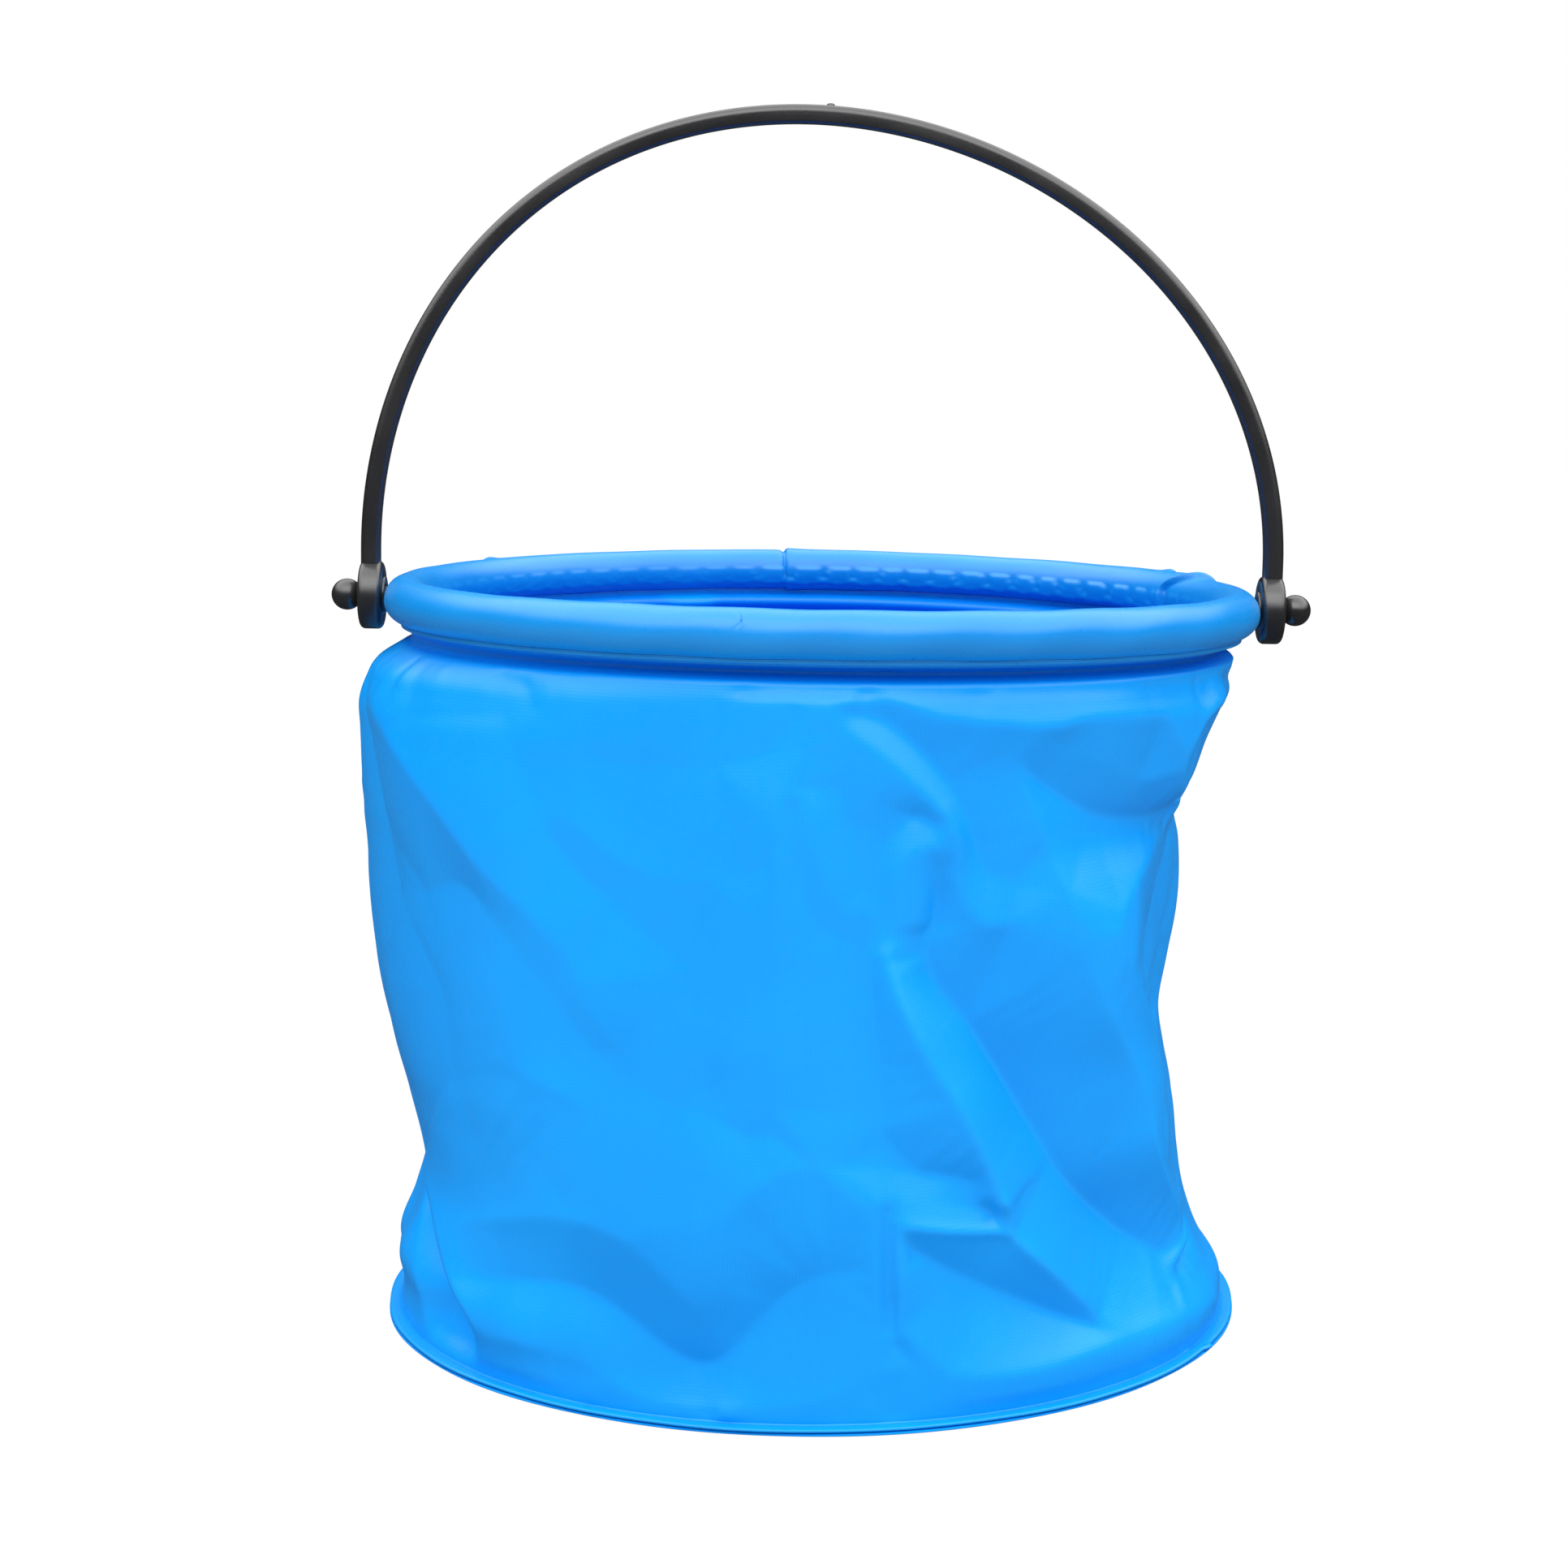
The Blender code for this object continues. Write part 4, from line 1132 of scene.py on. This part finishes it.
# What the floor shows: mostly plain white to the camera, so that only a faint shadow is left, and a
# dim glow to glossy rays, which would bleach the sheet's sides if they met white
camera_white = 1.04
camera_share = 0.93
glossy_glow = 0.05

# The dome's light starts at one height above the horizon and is full at another. Both are a little
# lower towards the front and the right, and the sides of the dome are brighter
dome_start, dome_full = 0.31, 0.60
front_lean = 0.12
right_lean = 0.10
side_gain = 1.25


def make_stage():
    shape = bmesh.new()
    bmesh.ops.create_circle(shape, cap_ends=True, segments=96, radius=stage_radius)
    mesh = bpy.data.meshes.new("studio_floor")
    shape.to_mesh(mesh)
    shape.free()
    floor = new_object("studio_floor", mesh)
    floor.location = (0, 0, -stage_drop)
    made, graph, shader = new_material("studio_white")
    shader.inputs["Base Color"].default_value = (stage_grey, stage_grey, stage_grey, 1)
    shader.inputs["Roughness"].default_value = 1.0
    shader.inputs["Specular IOR Level"].default_value = 0.0
    path = graph.add("ShaderNodeLightPath").outputs
    seen = graph.math("MAXIMUM", path["Is Camera Ray"], path["Is Transmission Ray"])
    strength = graph.math("ADD", graph.math("MULTIPLY", seen, camera_white),
                          graph.math("MULTIPLY", path["Is Glossy Ray"], glossy_glow))
    glow = graph.add("ShaderNodeEmission", Color=white, Strength=strength)
    shown = graph.math("ADD", graph.math("MULTIPLY", seen, camera_share), path["Is Glossy Ray"])
    both = graph.add("ShaderNodeMixShader", i0=shown, i1=shader.outputs[0], i2=glow.outputs[0])
    graph.put(made.node_tree.nodes["Material Output"].inputs["Surface"], both.outputs[0])
    mesh.materials.append(made)


def make_world(fill):
    world = bpy.data.worlds.new("studio")
    bpy.context.scene.world = world
    world.use_nodes = True
    world.node_tree.nodes.clear()
    graph = Graph(world.node_tree)
    path = graph.add("ShaderNodeLightPath").outputs
    way = graph.add("ShaderNodeTexCoord").outputs["Generated"]
    parts = graph.add("ShaderNodeSeparateXYZ", Vector=way).outputs
    leaning = graph.math("SUBTRACT", parts["Z"], graph.math("MULTIPLY", parts["Y"], front_lean))
    leaning = graph.math("ADD", leaning, graph.spread(parts["X"], 0.0, 0.9, 0.0, right_lean))
    dome = graph.spread(leaning, dome_start, dome_full, 0.0, fill)
    sides = graph.spread(graph.math("ABSOLUTE", parts["X"]), 0.2, 0.8, 1.0, side_gain)
    lit = graph.add("ShaderNodeBackground", Color=white, Strength=graph.math("MULTIPLY", dome, sides))
    seen = graph.add("ShaderNodeBackground", Color=white, Strength=1.0)
    which = graph.math("MAXIMUM", path["Is Camera Ray"], path["Is Transmission Ray"])
    both = graph.add("ShaderNodeMixShader", i0=which, i1=lit.outputs[0], i2=seen.outputs[0])
    graph.add("ShaderNodeOutputWorld", Surface=both.outputs[0])


def make_lamp(place_at, aim_at, width, height, power):
    data = bpy.data.lights.new("key", "AREA")
    data.shape = "RECTANGLE"
    data.size, data.size_y, data.energy = width, height, power
    lamp = new_object("key", data)
    lamp.location = place_at
    lamp.rotation_euler = (Vector(aim_at) - Vector(place_at)).to_track_quat("-Z", "Y").to_euler()


def make_camera():
    data = bpy.data.cameras.new("camera")
    data.sensor_width = sensor_width
    data.lens = sensor_width * focal_px / image_size
    data.clip_start = 0.01
    camera = new_object("camera", data)
    camera.location = camera_place
    camera.rotation_euler = (math.pi / 2 - camera_pitch, 0, 0)
    bpy.context.scene.camera = camera


make_camera()
make_stage()
make_world(fill=2.2)
make_lamp(place_at=(-0.05, -0.92, 1.12), aim_at=(0, 0, 0.12), width=1.3, height=0.9, power=4.0)
bpy.context.scene.view_settings.view_transform = "Standard"

# The pale colour of the creases is partly stress whitening and partly a painted highlight
wall_blue = sheet_material("wall_blue", deep=(0.0, 0.300, 0.87), plain=(0.0, 0.330, 0.91),
                           pale=(0.02, 0.38, 0.94), roughness=0.36, gloss=0.32, weave_depth=0.25)
rim_blue = sheet_material("rim_blue", deep=(0.002, 0.240, 0.69), plain=(0.004, 0.265, 0.72),
                          roughness=0.32, gloss=0.50, weave_depth=0.16)
floor_blue = sheet_material("floor_blue", deep=(0.0, 0.25, 0.78), plain=(0.0, 0.28, 0.82),
                            roughness=0.45, gloss=0.12, weave_depth=0.25)
# The paler black is partly wear and partly a painted highlight on the edges
black, worn_highlight_black = (0.016, 0.016, 0.017), (0.045, 0.045, 0.046)
bail_black = plastic_material("bail_black", black, worn_highlight_black, roughness=0.27)
pin_black = plastic_material("pin_black", black, worn_highlight_black, roughness=0.25)
hoop_white = plastic_material("hoop_white", (0.72, 0.73, 0.75), (0.8, 0.8, 0.81), roughness=0.45)
plug_grey = plastic_material("plug_grey", (0.28, 0.29, 0.31), (0.4, 0.4, 0.42), roughness=0.5)

wall = make_wall(wall_blue)
floor_sheet = make_floor(floor_blue)
sleeve = make_sleeve(rim_blue)
make_bail(bail_black)
make_pins(pin_black)
for node, finish in (("rim_tube", hoop_white), ("tube_joiner", plug_grey), ("pin_anchor_left", plug_grey),
                     ("pin_anchor_right", plug_grey)):
    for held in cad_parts[node].material_slots:
        held.material = finish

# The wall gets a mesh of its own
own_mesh(wall)
